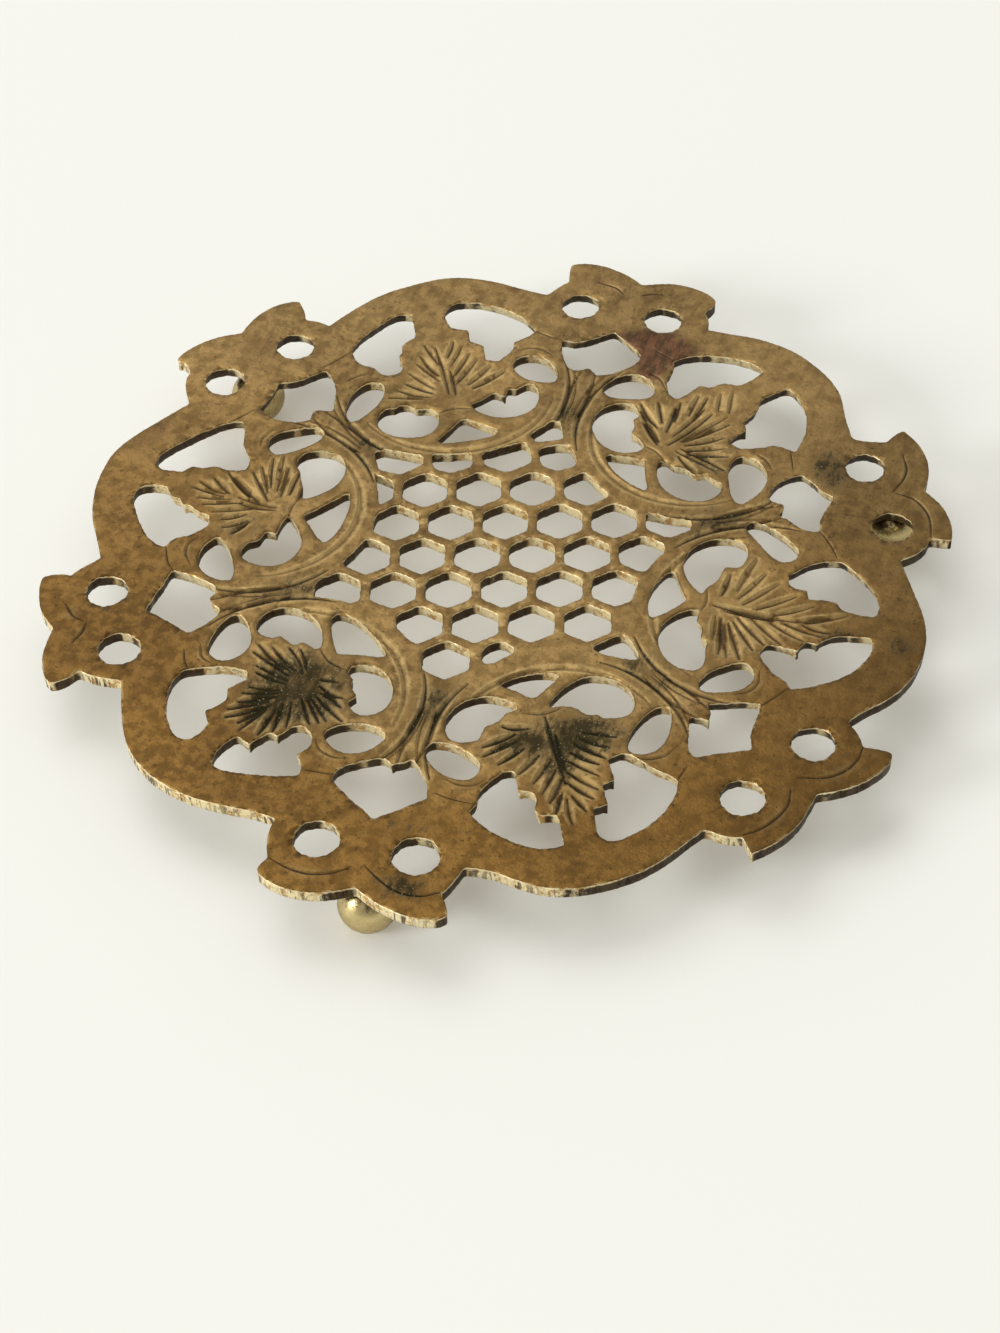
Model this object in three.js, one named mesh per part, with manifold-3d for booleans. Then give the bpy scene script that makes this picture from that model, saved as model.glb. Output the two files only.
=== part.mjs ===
// Brass trivet: a pierced and chased round plate on three turned ball feet.
// Millimetres, +Z up. The origin is on the table, under the plate's centre.
// The front foot and its ear point to -Y, and ears stand every 60 degrees from there.

import * as THREE from "three";
import { mergeVertices } from "three/addons/utils/BufferGeometryUtils.js";
import Module from "manifold-3d";

const wasm = await Module();
wasm.setup();

// Driving dimensions

const sectorCount = 6;
const sectorAngle = 360 / sectorCount;
const firstEarAngle = -90;

const plateThickness = 3;
const footHeight = 11;
const plateTop = footHeight + plateThickness;

// A motif is one leaf in its ring, under one scallop of the rim
const motifDistance = 54;
const ringOuterRadius = 25.6;
const ringInnerRadius = 21;

// The plate was drawn six times round and then sawn by hand, so no two sectors have quite the same
// openings. Each outline is a list of runs: one or two points are corners, and three or more lie
// on a smooth curve. A motif is drawn upright in its own frame, across first and outwards second.
const motifs = [
  {
    scallop: [
      [18.8, 79.9], [15, 82.6], [10.5, 85.6], [6, 87.2], [1, 87.7], [-4, 87.4], [-9.5, 86.2],
      [-14.5, 84], [-19.5, 81],
    ],
    leftWindow: [
      [
        [-3.6, 76.4], [-4.6, 77.6], [-6.5, 78], [-10, 77], [-14, 75], [-17.3, 72.3],
        [-19.5, 69.3], [-20.7, 66.4],
      ],
      [[-20.7, 66.4], [-19.4, 64.4], [-17, 62.4], [-15.4, 60.3], [-13.9, 58.3], [-12.3, 57.2]],
      [[-9.3, 57.7], [-9.3, 63.6]], [[-6.7, 64], [-6.8, 69.2]], [[-3.8, 69.6]],
    ],
    rightWindow: [
      [[3.7, 77], [6.5, 77.2], [9.5, 76.2], [12.5, 74.2], [15.5, 71.5], [18, 68], [19.3, 65]],
      [[19.3, 65], [17.2, 63.4], [16.5, 61], [14.2, 58.9], [12.4, 57.6]],
      [[10.8, 56.8], [9.1, 57]],
      [[9.4, 62], [6.9, 62.8]],
      [[6.4, 65], [7.2, 66.8]],
      [[7, 69], [3.3, 69.6]],
    ],
    leftHole: [
      [-23.6, 47.4], [-21.3, 47], [-17.6, 49.4], [-14.4, 53.2], [-13.5, 56.6], [-15.2, 57.9],
      [-18, 57.9], [-21, 55.6], [-22.9, 51.6],
    ],
    rightHole: [
      [15.1, 54.5], [15.4, 52.6], [17.3, 49.8], [20, 47.3], [22.6, 46.3], [24.2, 46.8],
      [24.6, 49.5], [24.1, 52], [22.5, 54.7], [20, 56.6], [17.2, 56.9],
    ],
    leftLoop: [
      [
        [-10.5, 47.1], [-13.5, 47.7], [-16, 47.2], [-17.3, 44.5], [-17.1, 41], [-15.2, 38],
        [-12.3, 36.3], [-9.4, 35.9], [-6.4, 37], [-3.6, 38.8], [-1.3, 41],
      ],
      [[-1.2, 42.1], [-3.8, 42.3]], [[-6, 43.4], [-7.5, 45.3]], [[-9.9, 46]],
    ],
    rightLoop: [
      [
        [14, 47.4], [17, 47.5], [19.2, 46.4], [19.9, 43.6], [19, 40.6], [16.6, 38],
        [13.6, 36.7], [10.4, 36.7], [7.6, 38], [5.4, 40],
      ],
      [[5.2, 41.4], [7.6, 41.8]], [[9.6, 43.6], [12.2, 44.3]], [[13.6, 46.6]],
    ],
    triangle: [
      [[1, 39], [-1, 37.5], [-3.8, 35.2]],
      [[-4.6, 34.2], [-1.5, 32.9], [3, 32.7], [7.2, 34]],
      [[7, 34.8], [4.5, 36.6], [2.4, 38.7]],
    ],
  },
  {
    scallop: [
      [18.6, 80.8], [15, 83.8], [11, 86.1], [6, 87.5], [1, 87.8], [-4, 87.2], [-9, 85.4],
      [-14, 82.6], [-19, 79.6],
    ],
    leftWindow: [
      [[-6.2, 76.2], [-8.5, 76.3], [-11.5, 74.9], [-14.5, 72.3], [-17, 69.2], [-18.9, 66.2]],
      [[-18.9, 66.2], [-18.2, 63.5], [-16.8, 61], [-14.5, 58.8], [-12.3, 57.3]],
      [[-10.4, 57.4], [-9.3, 58.6]],
      [[-9.3, 61.6], [-7, 62.4]],
      [[-7.8, 66], [-7.6, 68.2]],
      [[-6, 69.6], [-5.7, 72.5]],
    ],
    rightWindow: [
      [[-0.1, 76.6], [2, 77.6], [5, 77.5], [9, 76], [12.5, 73.2], [15.5, 69.5], [17.7, 65.4]],
      [[17.7, 65.4], [16, 64], [15, 61.5], [13.2, 59.6], [12, 58.2]],
      [[10, 57.2], [7.4, 58]], [[7.6, 64], [4.7, 65]], [[4.6, 67.4], [2.3, 69.4]], [[0.7, 73]],
    ],
    leftHole: [
      [-23.4, 44.6], [-22.2, 45.6], [-19.5, 48.6], [-16.8, 51.8], [-15.6, 54.2], [-16.6, 56.4],
      [-19.2, 57.2], [-21.8, 54.6], [-23.8, 51], [-25.2, 48], [-25, 45.6],
    ],
    rightHole: [
      [13.5, 55.2], [14.8, 56.8], [16.5, 57.6], [18.5, 57.4], [20.8, 55.8], [22.4, 52.6],
      [23.2, 49.6], [22.6, 48.2], [20.6, 48], [17.6, 49.4], [15.6, 51.4], [14, 53.4],
    ],
    leftLoop: [
      [
        [-12, 46.9], [-14.5, 47.4], [-17.3, 46.8], [-18.9, 44.4], [-18.6, 41], [-16.6, 38],
        [-13.6, 36], [-10, 35.6], [-6.6, 36.8], [-4, 39],
      ],
      [[-2.4, 41.4], [-4.6, 42]], [[-6.4, 43.2], [-11, 43.8]], [[-11.6, 46]],
    ],
    rightLoop: [
      [
        [14, 46.9], [16.6, 47.2], [18.2, 46], [18.4, 43.4], [17.2, 40.2], [14.5, 37.8],
        [11, 36.6], [8, 36.7], [5, 38], [2.6, 40.6],
      ],
      [[2, 42.2], [5.4, 42.6]], [[6.4, 44.2], [9.6, 44.6]], [[10, 46.2], [12.2, 46.4]],
    ],
    triangle: [
      [[0.2, 39], [-2.8, 36.8], [-6.4, 34.8]],
      [[-6.8, 33.6], [-3, 32.2], [2, 31.8], [6.6, 33.2]],
      [[6.4, 34.6], [4, 36.8], [1.4, 38.4]],
    ],
  },
  {
    scallop: [
      [20, 79.5], [16.5, 82], [12, 85.3], [7, 87.1], [2, 87.8], [-3, 87.9], [-8, 86.9],
      [-13, 84.9], [-18, 81.8],
    ],
    leftWindow: [
      [
        [-4.4, 78.4], [-7, 78.5], [-10, 77.4], [-13, 75.8], [-16.4, 72.8], [-18.7, 69.6],
        [-19.6, 66.4],
      ],
      [[-19.6, 66.4], [-17.6, 65], [-16.6, 62.4], [-15, 60.2], [-12.6, 58.7]],
      [[-10.8, 58.9], [-10.3, 61]],
      [[-10.5, 65.3], [-8.4, 66.6]],
      [[-7.8, 69], [-6.6, 70.3]],
      [[-4.8, 71.3], [-4.2, 74]],
    ],
    rightWindow: [
      [[3.3, 78.4], [6, 77.9], [10, 76.2], [13.5, 73.6], [16.3, 69.8], [18.2, 65.6]],
      [[18.2, 65.6], [15.6, 64.8], [13.6, 63.8], [12.8, 61.9], [11, 59.6], [9.6, 58.1]],
      [[7, 57.8], [6.4, 60]], [[6.6, 63], [4.4, 64.4]], [[4, 68.6], [2.3, 71.4]], [[2.6, 75.4]],
    ],
    leftHole: [
      [-24.4, 50.5], [-24.6, 53.5], [-23.8, 56.2], [-22, 58.2], [-19.4, 58.8], [-17, 58],
      [-15.4, 56.6], [-15.2, 54.6], [-17.2, 52], [-20, 49.6], [-22.4, 48.8],
    ],
    rightHole: [
      [11.2, 55.8], [12.4, 57.4], [14.8, 58], [17.6, 57.4], [20.2, 55.4], [21.6, 52.4],
      [22, 49], [21.6, 46.2], [19.4, 46.4], [16.6, 48.2], [13.4, 51], [11.6, 53.4],
    ],
    leftLoop: [
      [
        [-12.4, 49.6], [-14.8, 50.8], [-17.2, 50.2], [-19, 47.4], [-19.2, 44], [-17.6, 41],
        [-15, 38.9], [-11.5, 37.8], [-8, 38.2], [-5.6, 40], [-4.6, 42.4],
      ],
      [[-4.8, 44], [-6.8, 44.6]], [[-9.8, 44.6], [-10.6, 46.4]], [[-12.4, 47.6]],
    ],
    rightLoop: [
      [
        [14, 48], [15.8, 46.4], [16.3, 43.6], [15, 40.6], [12.2, 38.7], [8.8, 38], [5.6, 38.6],
        [3, 40.4], [0.8, 43],
      ],
      [[1, 44.2], [4, 44.4]], [[6, 45.8], [8.6, 45.8]], [[10, 47.6], [12, 47.4]],
    ],
    triangle: [
      [[-1.6, 41], [-4.6, 39.2], [-8, 36.6]],
      [[-7.8, 35.6], [-4, 34.2], [0.5, 33.9], [5.2, 34.8]],
      [[5, 35.4], [2, 37.8], [-0.4, 39.8]],
    ],
  },
  {
    scallop: [
      [20, 82], [16, 84.8], [11, 87.4], [6, 88.8], [2, 88.9], [-3, 88.2], [-8, 87.2],
      [-13, 85.2], [-18, 82.3],
    ],
    leftWindow: [
      [[-4.9, 78.2], [-8, 78.7], [-11, 77], [-15, 74.3], [-18.4, 71], [-19.4, 68.4]],
      [[-19.4, 68.4], [-19, 66], [-17.5, 64.2], [-15.5, 62.8], [-15, 61.2], [-13.2, 59.8]],
      [[-10.8, 60.2], [-9.9, 61.6]],
      [[-10, 65.6], [-9.1, 66.4]],
      [[-8.8, 68.6], [-7.2, 70]],
      [[-5.3, 71]],
    ],
    rightWindow: [
      [[2.9, 77.4], [4.6, 79.6], [8, 79.6], [12, 78], [16, 75], [19.2, 71], [20.5, 66.6]],
      [[20.5, 66.6], [17.6, 65.2], [15.4, 64.6], [14.6, 62.2], [12.6, 60.4], [10.8, 59.2]],
      [[8.4, 60.4], [8.8, 64.8]], [[6.3, 66.8], [6.6, 70.4]], [[3, 72.2], [2.5, 74.5]],
    ],
    leftHole: [
      [-23.4, 47.2], [-24, 49.6], [-23.2, 53], [-21.4, 56], [-19, 58], [-16.6, 58.5],
      [-14.8, 57.4], [-14.9, 55], [-16.6, 51.8], [-19.2, 49.4], [-21.6, 47.6],
    ],
    rightHole: [
      [14.1, 54.6], [13.9, 57.4], [15.4, 59.2], [18, 59.5], [20.6, 58.2], [22.2, 55],
      [22.4, 51.8], [21.4, 50], [18.6, 50.6], [15.8, 52.2],
    ],
    leftLoop: [
      [
        [-13.2, 49.6], [-15.4, 49.6], [-17.2, 48], [-17.9, 45.6], [-17.4, 43], [-15, 40.8],
        [-11.6, 39.6], [-8.2, 39.8], [-6, 41.6], [-5.2, 43.6],
      ],
      [[-4.9, 46], [-6.6, 48]], [[-9.4, 48.2], [-10.4, 49.8]], [[-12.2, 50.2]],
    ],
    rightLoop: [
      [
        [14.4, 50.2], [16.2, 50.9], [17.3, 49], [17, 45.8], [15.4, 43], [12.6, 41.5],
        [9.2, 41.3], [6, 42.6], [3.6, 44.8],
      ],
      [[2.5, 47.4], [5.4, 48.4]], [[8, 49.8], [10.2, 48]], [[11.4, 50.4], [12.8, 49.6]],
    ],
    triangle: [
      [[-0.4, 43], [-3.6, 40], [-6.6, 37.4]],
      [[-5.8, 36.4], [0, 35.9], [5.6, 36.4]],
      [[6.6, 37.8], [3.8, 40.2], [0.6, 43]],
    ],
  },
  {
    scallop: [
      [20, 81.6], [15, 84.4], [10, 87], [5, 88.5], [0, 88.6], [-5, 88], [-10, 86.6],
      [-15, 84.4], [-20, 81.2],
    ],
    leftWindow: [
      [
        [-1.2, 76], [-2.2, 78.2], [-4, 79.2], [-7, 78.4], [-11, 75.9], [-14.5, 72.9],
        [-17, 69.8], [-17.6, 67.2],
      ],
      [[-17.6, 67.2], [-15, 66.4], [-13.9, 65.2], [-12.6, 63.4], [-10.8, 62], [-9.2, 61.1]],
      [[-6.4, 61.8], [-6, 65]],
      [[-4.8, 66.6], [-5, 68.4]],
      [[-3.6, 69.8], [-3.4, 71.8]],
      [[-1.3, 73.6]],
    ],
    rightWindow: [
      [
        [3.6, 76.8], [5.2, 78.4], [8.4, 78.2], [12.4, 75.8], [16.4, 72.8], [20.2, 69.6],
        [22.2, 66.2],
      ],
      [[22.2, 66.2], [19.2, 64.3], [15.8, 63.4], [13.4, 61.6], [11.4, 60.1]],
      [[8.8, 59.8], [7.6, 63.6]], [[7.8, 66.4], [6.6, 68.4]], [[6.4, 71.2], [4.2, 72.4]],
    ],
    leftHole: [
      [-22.4, 50.7], [-22.8, 53.6], [-21.7, 57], [-19.2, 59], [-16, 59.6], [-13, 58.9],
      [-11.4, 57.8], [-12.6, 55.8], [-15.6, 53.4], [-19.4, 51.2],
    ],
    rightHole: [
      [15, 55.4], [16.4, 57.6], [18.6, 58.4], [21, 57.6], [22.8, 55.4], [24.6, 52.4],
      [25.6, 49.8], [24.6, 48.2], [22.4, 48.2], [19.6, 49.8], [16.8, 52.6],
    ],
    leftLoop: [
      [
        [-13.4, 51.8], [-15.4, 51], [-16.4, 48.6], [-16.3, 45.4], [-15, 42.6], [-12.4, 41],
        [-9, 40.6], [-5.8, 42], [-3, 44.2], [-0.8, 46.4],
      ],
      [[-3.6, 46.8], [-6.8, 46.8]], [[-6.8, 49.2], [-9.6, 49.4]], [[-11.2, 51.4]],
    ],
    rightLoop: [
      [
        [13.4, 50.2], [16, 50.4], [18.2, 48.6], [19.2, 45.4], [18.4, 42.2], [16, 40.2],
        [12.6, 39.6], [9.4, 40.4], [6.6, 42.4], [4.8, 44.6],
      ],
      [[4.6, 45.8], [7.6, 46.4]], [[9.8, 47.8], [11.6, 48.6]],
    ],
    triangle: [
      [[-0.8, 43], [-2.8, 40.8], [-5.4, 38.4]],
      [[-6.6, 36.4], [-4, 35.2], [0, 34.8], [5, 35.2], [8.6, 36.4]],
      [[8.4, 37.2], [6, 38.6], [3, 40.8], [0, 43]],
    ],
  },
  {
    scallop: [
      [18, 83], [13, 86], [8, 87.8], [3, 88.4], [-1.5, 88], [-6, 86.8], [-10.5, 84.8],
      [-15, 82.1], [-19.5, 79.2],
    ],
    leftWindow: [
      [[-4.2, 77.8], [-5.6, 77.7], [-8.5, 76.2], [-12, 73.3], [-15, 70.5], [-17.7, 67.6]],
      [[-17.7, 67.6], [-15.8, 65.2], [-13.2, 64.6], [-13.5, 62.8], [-13.2, 60.6], [-10.6, 58.9]],
      [[-8.4, 58.8], [-7.3, 60]],
      [[-7.2, 64.2], [-5.4, 64.8]],
      [[-5.2, 69.6], [-2, 69.9]],
      [[-2.2, 74.5]],
    ],
    rightWindow: [
      [[3.8, 77], [5.4, 78.6], [8.4, 78], [12, 76.3], [15.6, 73.4], [18.2, 70], [19, 66.6]],
      [[19, 66.6], [17.2, 64.2], [15.2, 61.4], [12.4, 59], [10.2, 58]],
      [[8.9, 59.4], [9.3, 63.8]],
      [[7.2, 65.4], [7.2, 68.2]],
      [[7.6, 70.6], [4.6, 72.2]],
      [[3.9, 74]],
    ],
    leftHole: [
      [-21.8, 50.4], [-21.9, 53], [-20.2, 56.4], [-17.4, 57.9], [-14.4, 57.8], [-12.4, 56.6],
      [-12.8, 54], [-14.6, 51], [-17, 49], [-20, 48.2], [-21.6, 49],
    ],
    rightHole: [
      [15.1, 54.4], [15, 57.8], [16.6, 60], [19.2, 60.3], [21.8, 58.4], [23.6, 55],
      [24.6, 51.4], [23.8, 49.4], [21.4, 49.4], [18.8, 50.6], [16.6, 52],
    ],
    leftLoop: [
      [
        [-11.4, 48.9], [-13.6, 48.7], [-15.2, 46.6], [-15.4, 43.6], [-14, 41], [-11.6, 39],
        [-8.8, 38.1], [-6, 38.4], [-3.6, 39.8], [-2.4, 41.4],
      ],
      [[-3, 43.2], [-5.2, 43.4]], [[-6.4, 45], [-9.2, 45.8]], [[-9.3, 48.4]],
    ],
    rightLoop: [
      [
        [14.2, 48.4], [16.4, 49.4], [18.8, 48.8], [20.3, 46.2], [20.2, 43], [18.2, 40.4],
        [15, 39], [11.6, 39], [8.4, 40.4], [5.8, 42.8],
      ],
      [[6.2, 44], [9.3, 44.4]], [[9.9, 46.5], [13.6, 46.8]],
    ],
    triangle: [
      [[2.2, 41.5], [-0.6, 39], [-4.6, 35.6]],
      [[-4.8, 34.8], [0, 33.2], [5, 32.8], [9, 33.4], [10.8, 34.6]],
      [[10.4, 36.2], [7.8, 38.4], [4.6, 40.4]],
    ],
  },
];

// An ear has two round holes, two lobes and two petals that meet in a notch, over a four-cornered
// window with a leaflet's tip at its foot. Its outline runs from right to left.
const ears = [
  {
    outline: [
      [[18.5, 78.7], [18.6, 81.6], [17.9, 84.8], [16.4, 88.1]],
      [[16.4, 88.1], [17.3, 90.2], [17, 91.9]],
      [[17, 91.9], [14.8, 93.1], [11, 93.9], [7, 93.7], [3, 92.5], [-1.7, 89.8]],
      [[-1.7, 89.8], [-5, 91.4], [-9.5, 92.8], [-14, 93.3], [-18.4, 92.5], [-20.2, 91]],
      [[-20.2, 91], [-19.7, 89.4], [-17.5, 86.2]],
      [[-17.5, 86.2], [-18.4, 84], [-19, 81.6], [-19.5, 79.2]],
    ],
    holes: [{ at: [9.3, 81], radius: 4.2 }, { at: [-9.95, 79.35], radius: 4.35 }],
    window: [
      [[1, 73.2], [3, 71.8], [6, 70.1], [9.4, 68], [11.9, 66.2]],
      [[11.9, 66.2], [11.4, 63.8], [9.4, 61.4], [5.6, 59]],
      [[4.4, 58.2], [2.2, 59.6]], [[0.4, 58.4], [-1.2, 57]], [[-2.6, 58.2]],
      [[-3.6, 59.2], [-5.4, 61.4], [-6.4, 63.6], [-7, 65.4]],
      [[-7, 65.4], [-4.6, 67.8], [-2, 70.4], [1, 73.2]],
    ],
  },
  {
    outline: [
      [[19.6, 79.9], [18.8, 82], [17.6, 84.3], [15.8, 86]],
      [[15.8, 86], [16.6, 88.2], [17.4, 90]],
      [[17.4, 90], [14, 90.9], [10, 91.3], [6, 90.9], [2.4, 89.8], [-2, 87.9]],
      [[-2, 87.9], [-5.4, 90], [-9.6, 91.6], [-14, 92.2], [-18, 91.8], [-19.8, 90.2]],
      [[-19.8, 90.2], [-18.6, 87.8], [-16.9, 85.6]],
      [[-16.9, 85.6], [-18.2, 83.4], [-18.9, 81.2], [-19.4, 79]],
    ],
    holes: [{ at: [9.05, 79.15], radius: 4.1 }, { at: [-10.4, 78.6], radius: 4 }],
    window: [
      [[-0.7, 71.5], [2.6, 69.2], [5.6, 67.3], [8.4, 65.8]],
      [[8.4, 65.8], [8.3, 64], [6, 61.4], [3.2, 58.6]],
      [[2.2, 57.6], [1.2, 58.8]], [[0.2, 60.9], [-1.2, 60]], [[-2.8, 57.6]],
      [[-4.4, 58.9], [-6.4, 60.5], [-8.4, 62.2], [-10.2, 64.3]],
      [[-10.2, 64.3], [-7.2, 66.3], [-4, 67.9], [-0.7, 71.5]],
    ],
  },
  {
    outline: [
      [[18.6, 78.5], [17.7, 81.8], [16.2, 84.4], [13.9, 86.1]],
      [[13.9, 86.1], [14.7, 88], [15.4, 90.2]],
      [[15.4, 90.2], [12.4, 91.2], [8.8, 91.5], [5, 91], [2.6, 90], [0.2, 89]],
      [[0.2, 89], [-2.4, 90.4], [-5.6, 91.6], [-9, 92.1], [-13.5, 91.7], [-18.3, 89.8]],
      [[-18.3, 89.8], [-17.4, 87.6], [-15.6, 85.4]],
      [[-15.6, 85.4], [-16.4, 82.6], [-17.4, 80], [-18.4, 78.7]],
    ],
    holes: [{ at: [9.2, 79.4], radius: 3.9 }, { at: [-9, 78.8], radius: 3.85 }],
    window: [
      [[-1.9, 70.1], [0.2, 68.3], [3, 66], [7, 64.6]],
      [[7, 64.6], [6, 62], [3.6, 60.2], [1.6, 58.8]],
      [[0.6, 57.9], [-0.6, 59.4]], [[-2.2, 59.7], [-3.4, 58.2]], [[-4.4, 57.2]],
      [[-5.2, 57.4], [-7.6, 59.2], [-9.2, 61.8], [-9.9, 65.4]],
      [[-9.9, 65.4], [-7, 66.9], [-4.4, 68.1], [-1.9, 70.1]],
    ],
  },
  {
    outline: [
      [[20.4, 79.7], [19.9, 82], [19.2, 83.6], [18.1, 84.9]],
      [[18.1, 84.9], [19.4, 87.6], [19.3, 89.6]],
      [[19.3, 89.6], [17.4, 91], [14.6, 92], [11, 92.4], [7.4, 92], [2.2, 89.9]],
      [[2.2, 89.9], [-0.6, 91.6], [-4, 92.9], [-8.4, 93.7], [-12.2, 93.3], [-14.9, 92]],
      [[-14.9, 92], [-14.6, 89.8], [-13.7, 86.2]],
      [[-13.7, 86.2], [-15, 84.4], [-16, 82.4], [-16.8, 80.6]],
    ],
    holes: [{ at: [10.1, 79.7], radius: 3.8 }, { at: [-8.6, 79], radius: 3.75 }],
    window: [
      [[0.9, 73], [3.4, 71.2], [6.2, 69.3], [8.9, 67.2]],
      [[8.9, 67.2], [8.4, 64.6], [6.2, 61.6], [3.4, 59.2]],
      [[1.6, 58.6], [0.6, 59.4]], [[-0.6, 60.4], [-1.8, 59.4]], [[-3.6, 58.6]],
      [[-5, 59.2], [-6.8, 61.8], [-8, 64.4], [-8.8, 67.3]],
      [[-8.8, 67.3], [-5.6, 67.4], [-2.4, 69.6], [0.9, 73]],
    ],
  },
  {
    outline: [
      [[19.4, 79.8], [18.9, 81.6], [18, 83.4], [16.9, 84.9]],
      [[16.9, 84.9], [18.6, 87.4], [19.8, 90.8]],
      [[19.8, 90.8], [17.6, 92.4], [14, 93.4], [10.4, 93.3], [7, 92.4], [3.8, 91.1]],
      [[3.8, 91.1], [0.4, 93], [-3, 94.2], [-7, 94.7], [-10.6, 94.3], [-12.2, 93.4]],
      [[-12.2, 93.4], [-11.2, 91.6], [-12.6, 88.4]],
      [[-12.6, 88.4], [-14.8, 86.9], [-16.9, 84], [-18.6, 80.6]],
    ],
    holes: [{ at: [9.6, 79.4], radius: 3.75 }, { at: [-8.6, 80.9], radius: 4 }],
    window: [
      [[-0.1, 72.6], [2, 70.7], [5.4, 69.5], [9.5, 68.8]],
      [[9.5, 68.8], [8.6, 65.2], [6.2, 61.6], [2.4, 57.8]],
      [[1, 59.6], [-0.4, 60.8]], [[-1.6, 60], [-2.8, 59]],
      [[-3.8, 59.4], [-6.4, 61.6], [-8, 64.4], [-8.6, 68.8]],
      [[-8.6, 68.8], [-5.4, 69.8], [-2.4, 71], [-0.1, 72.6]],
    ],
  },
  {
    outline: [
      [[17.9, 80.2], [16.8, 82.6], [15.6, 84.8], [14.3, 86.6]],
      [[14.3, 86.6], [15.3, 89.2], [15.2, 92.2]],
      [[15.2, 92.2], [13, 93.1], [9.6, 93.6], [5.6, 93.6], [2.6, 92.6], [0.2, 91.6]],
      [[0.2, 91.6], [-3, 93.2], [-7, 94.5], [-10, 94.8], [-12.6, 94.7], [-14.4, 94]],
      [[-14.4, 94], [-14.4, 91.2], [-12.4, 87.9]],
      [[-12.4, 87.9], [-14.4, 85.6], [-15.7, 83], [-17, 79.9]],
    ],
    holes: [{ at: [8.2, 79.9], radius: 4 }, { at: [-8.4, 79.3], radius: 4.05 }],
    window: [
      [[1.2, 72.7], [3.8, 71.1], [7, 68.9], [11.1, 66.1]],
      [[11.1, 66.1], [9.6, 63.8], [7.6, 61.1], [4.8, 58.4]],
      [[2.8, 58.6], [1.8, 60]], [[0, 59.7], [-1.6, 58.4]],
      [[-3.2, 58.8], [-4.8, 60.9], [-6.1, 63.1], [-7, 65.3]],
      [[-7, 65.3], [-4.2, 67.6], [-1.4, 70.2], [1.2, 72.7]],
    ],
  },
];
const earLineRadius = 9.6;

// Steps per given point on a smooth run, steps on each closed or long curve, and circle sides
const runSteps = 1.4;
const closedSteps = 16;
const scallopSteps = 16;
const holeSides = 20;
const fieldSides = 48;
const ringSides = 72;
const samePoint = 0.01;

const cellPitch = 11.2;
const cellWall = 2.15;
const honeycombTurn = 18;
const honeycombShift = [0.2, 0.8];
const honeycombReach = 41.5;
const honeycombRows = 4;
const smallestCellVolume = 25;

// Places in the honeycomb's rows where no cell was pierced, as [column, row]
const uncutCells = [
  [-2, -4], [-1, -4], [0, -4], [0, -3], [1, -3], [2, -3],
  [-3, -2], [2, -2], [3, 0], [-2, 3], [-1, 3], [0, 3], [1, 3], [-1, 4], [0, 4],
];

// Seven odd cells that leave the pattern, as corners in the plate's own frame
const oddCells = [
  [[-35.7, 21.6], [-34.6, 23.1], [-25.7, 23.6], [-24.9, 21.1], [-28.4, 16.9], [-33.1, 17.1]],
  [[-24, 24.6], [-16.3, 27.8], [-14.9, 23.5], [-18.6, 20.4], [-22, 20.8]],
  [[-14, 28.3], [-6.7, 34.1], [-4.7, 31.8], [-3.3, 28.4], [-7.4, 24], [-12.4, 25]],
  [[-3.1, 32.9], [2, 35.8], [2.9, 35.7], [5.6, 31.5], [5.6, 29.9], [2.8, 27.7], [-0.9, 28.3]],
  [[-6.3, 36.4], [-2.8, 42.5], [-1.2, 42], [0.8, 37.3], [-4.3, 34.8]],
  [
    [4.5, -25.7], [6.2, -23.1], [7.8, -22.4], [10.5, -23.4], [10.8, -24.4], [7.5, -28.5],
    [5.7, -28.9],
  ],
  [[25, -18.5], [29.4, -13.5], [30.7, -13.8], [34.8, -18.4], [34.2, -19.2], [26.7, -19.4]],
];

// Each foot's place in its ear's frame, read from where the photo shows its ball
const feet = [
  { name: "ball_foot_front", ear: 0, at: [-2.5, 86.4] },
  { name: "ball_foot_rear_right", ear: 2, at: [0.5, 81.5] },
  { name: "ball_foot_rear_left", ear: 4, at: [-1, 80.2] },
];
const ballRadius = 5.8;
const ballBaseRadius = 1.5;
const ballSeatRadius = 2.5;
const ballRings = 10;
const spigotRadius = 2;
const spigotLength = 1.7;
const socketClearance = 0.2;
const socketDepth = 2.1;
const turningSides = 24;
const brazeGap = 0.1;

const veinWidth = 1.3;
const veinDepth = 0.55;
const lineWidth = 0.6;
const lineDepth = 0.35;
const ringGrooveWidth = 1.5;
const ringGrooveDepth = 0.7;
const ringGrooveStart = -158;
const ringGrooveEnd = -22;

// A cutting solid stands this far past the face that it cuts
const cutterMargin = 1;
const grooveCutterLift = 0.4;

const radians = THREE.MathUtils.degToRad;

// Frames. A sector or an ear is drawn upright, across first and outwards second,
// and is then turned to its place round the plate's centre.

function earAngle(index) {
  return firstEarAngle + sectorAngle * index;
}

function motifAngle(index) {
  return earAngle(index) + sectorAngle / 2;
}

function place(point, angle) {
  const turn = radians(angle);
  const x = point.x * Math.sin(turn) + point.y * Math.cos(turn);
  const y = -point.x * Math.cos(turn) + point.y * Math.sin(turn);
  return new THREE.Vector2(x, y);
}

function placeAll(points, angle) {
  return points.map((point) => place(point, angle));
}

function mirrored(points) {
  return points.map((point) => new THREE.Vector2(-point.x, point.y)).reverse();
}

function dots(pairs) {
  return pairs.map(([x, y]) => new THREE.Vector2(x, y));
}

function arc(centre, radius, startAngle, endAngle, steps) {
  const points = [];
  for (let step = 0; step <= steps; step += 1) {
    const angle = radians(startAngle + ((endAngle - startAngle) * step) / steps);
    const x = centre.x + radius * Math.cos(angle);
    const y = centre.y + radius * Math.sin(angle);
    points.push(new THREE.Vector2(x, y));
  }
  return points;
}

function circle(centre, radius, sides) {
  return arc(centre, radius, 0, 360, sides).slice(0, -1);
}

function curve(pairs, steps) {
  return new THREE.SplineCurve(dots(pairs)).getPoints(steps);
}

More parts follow.
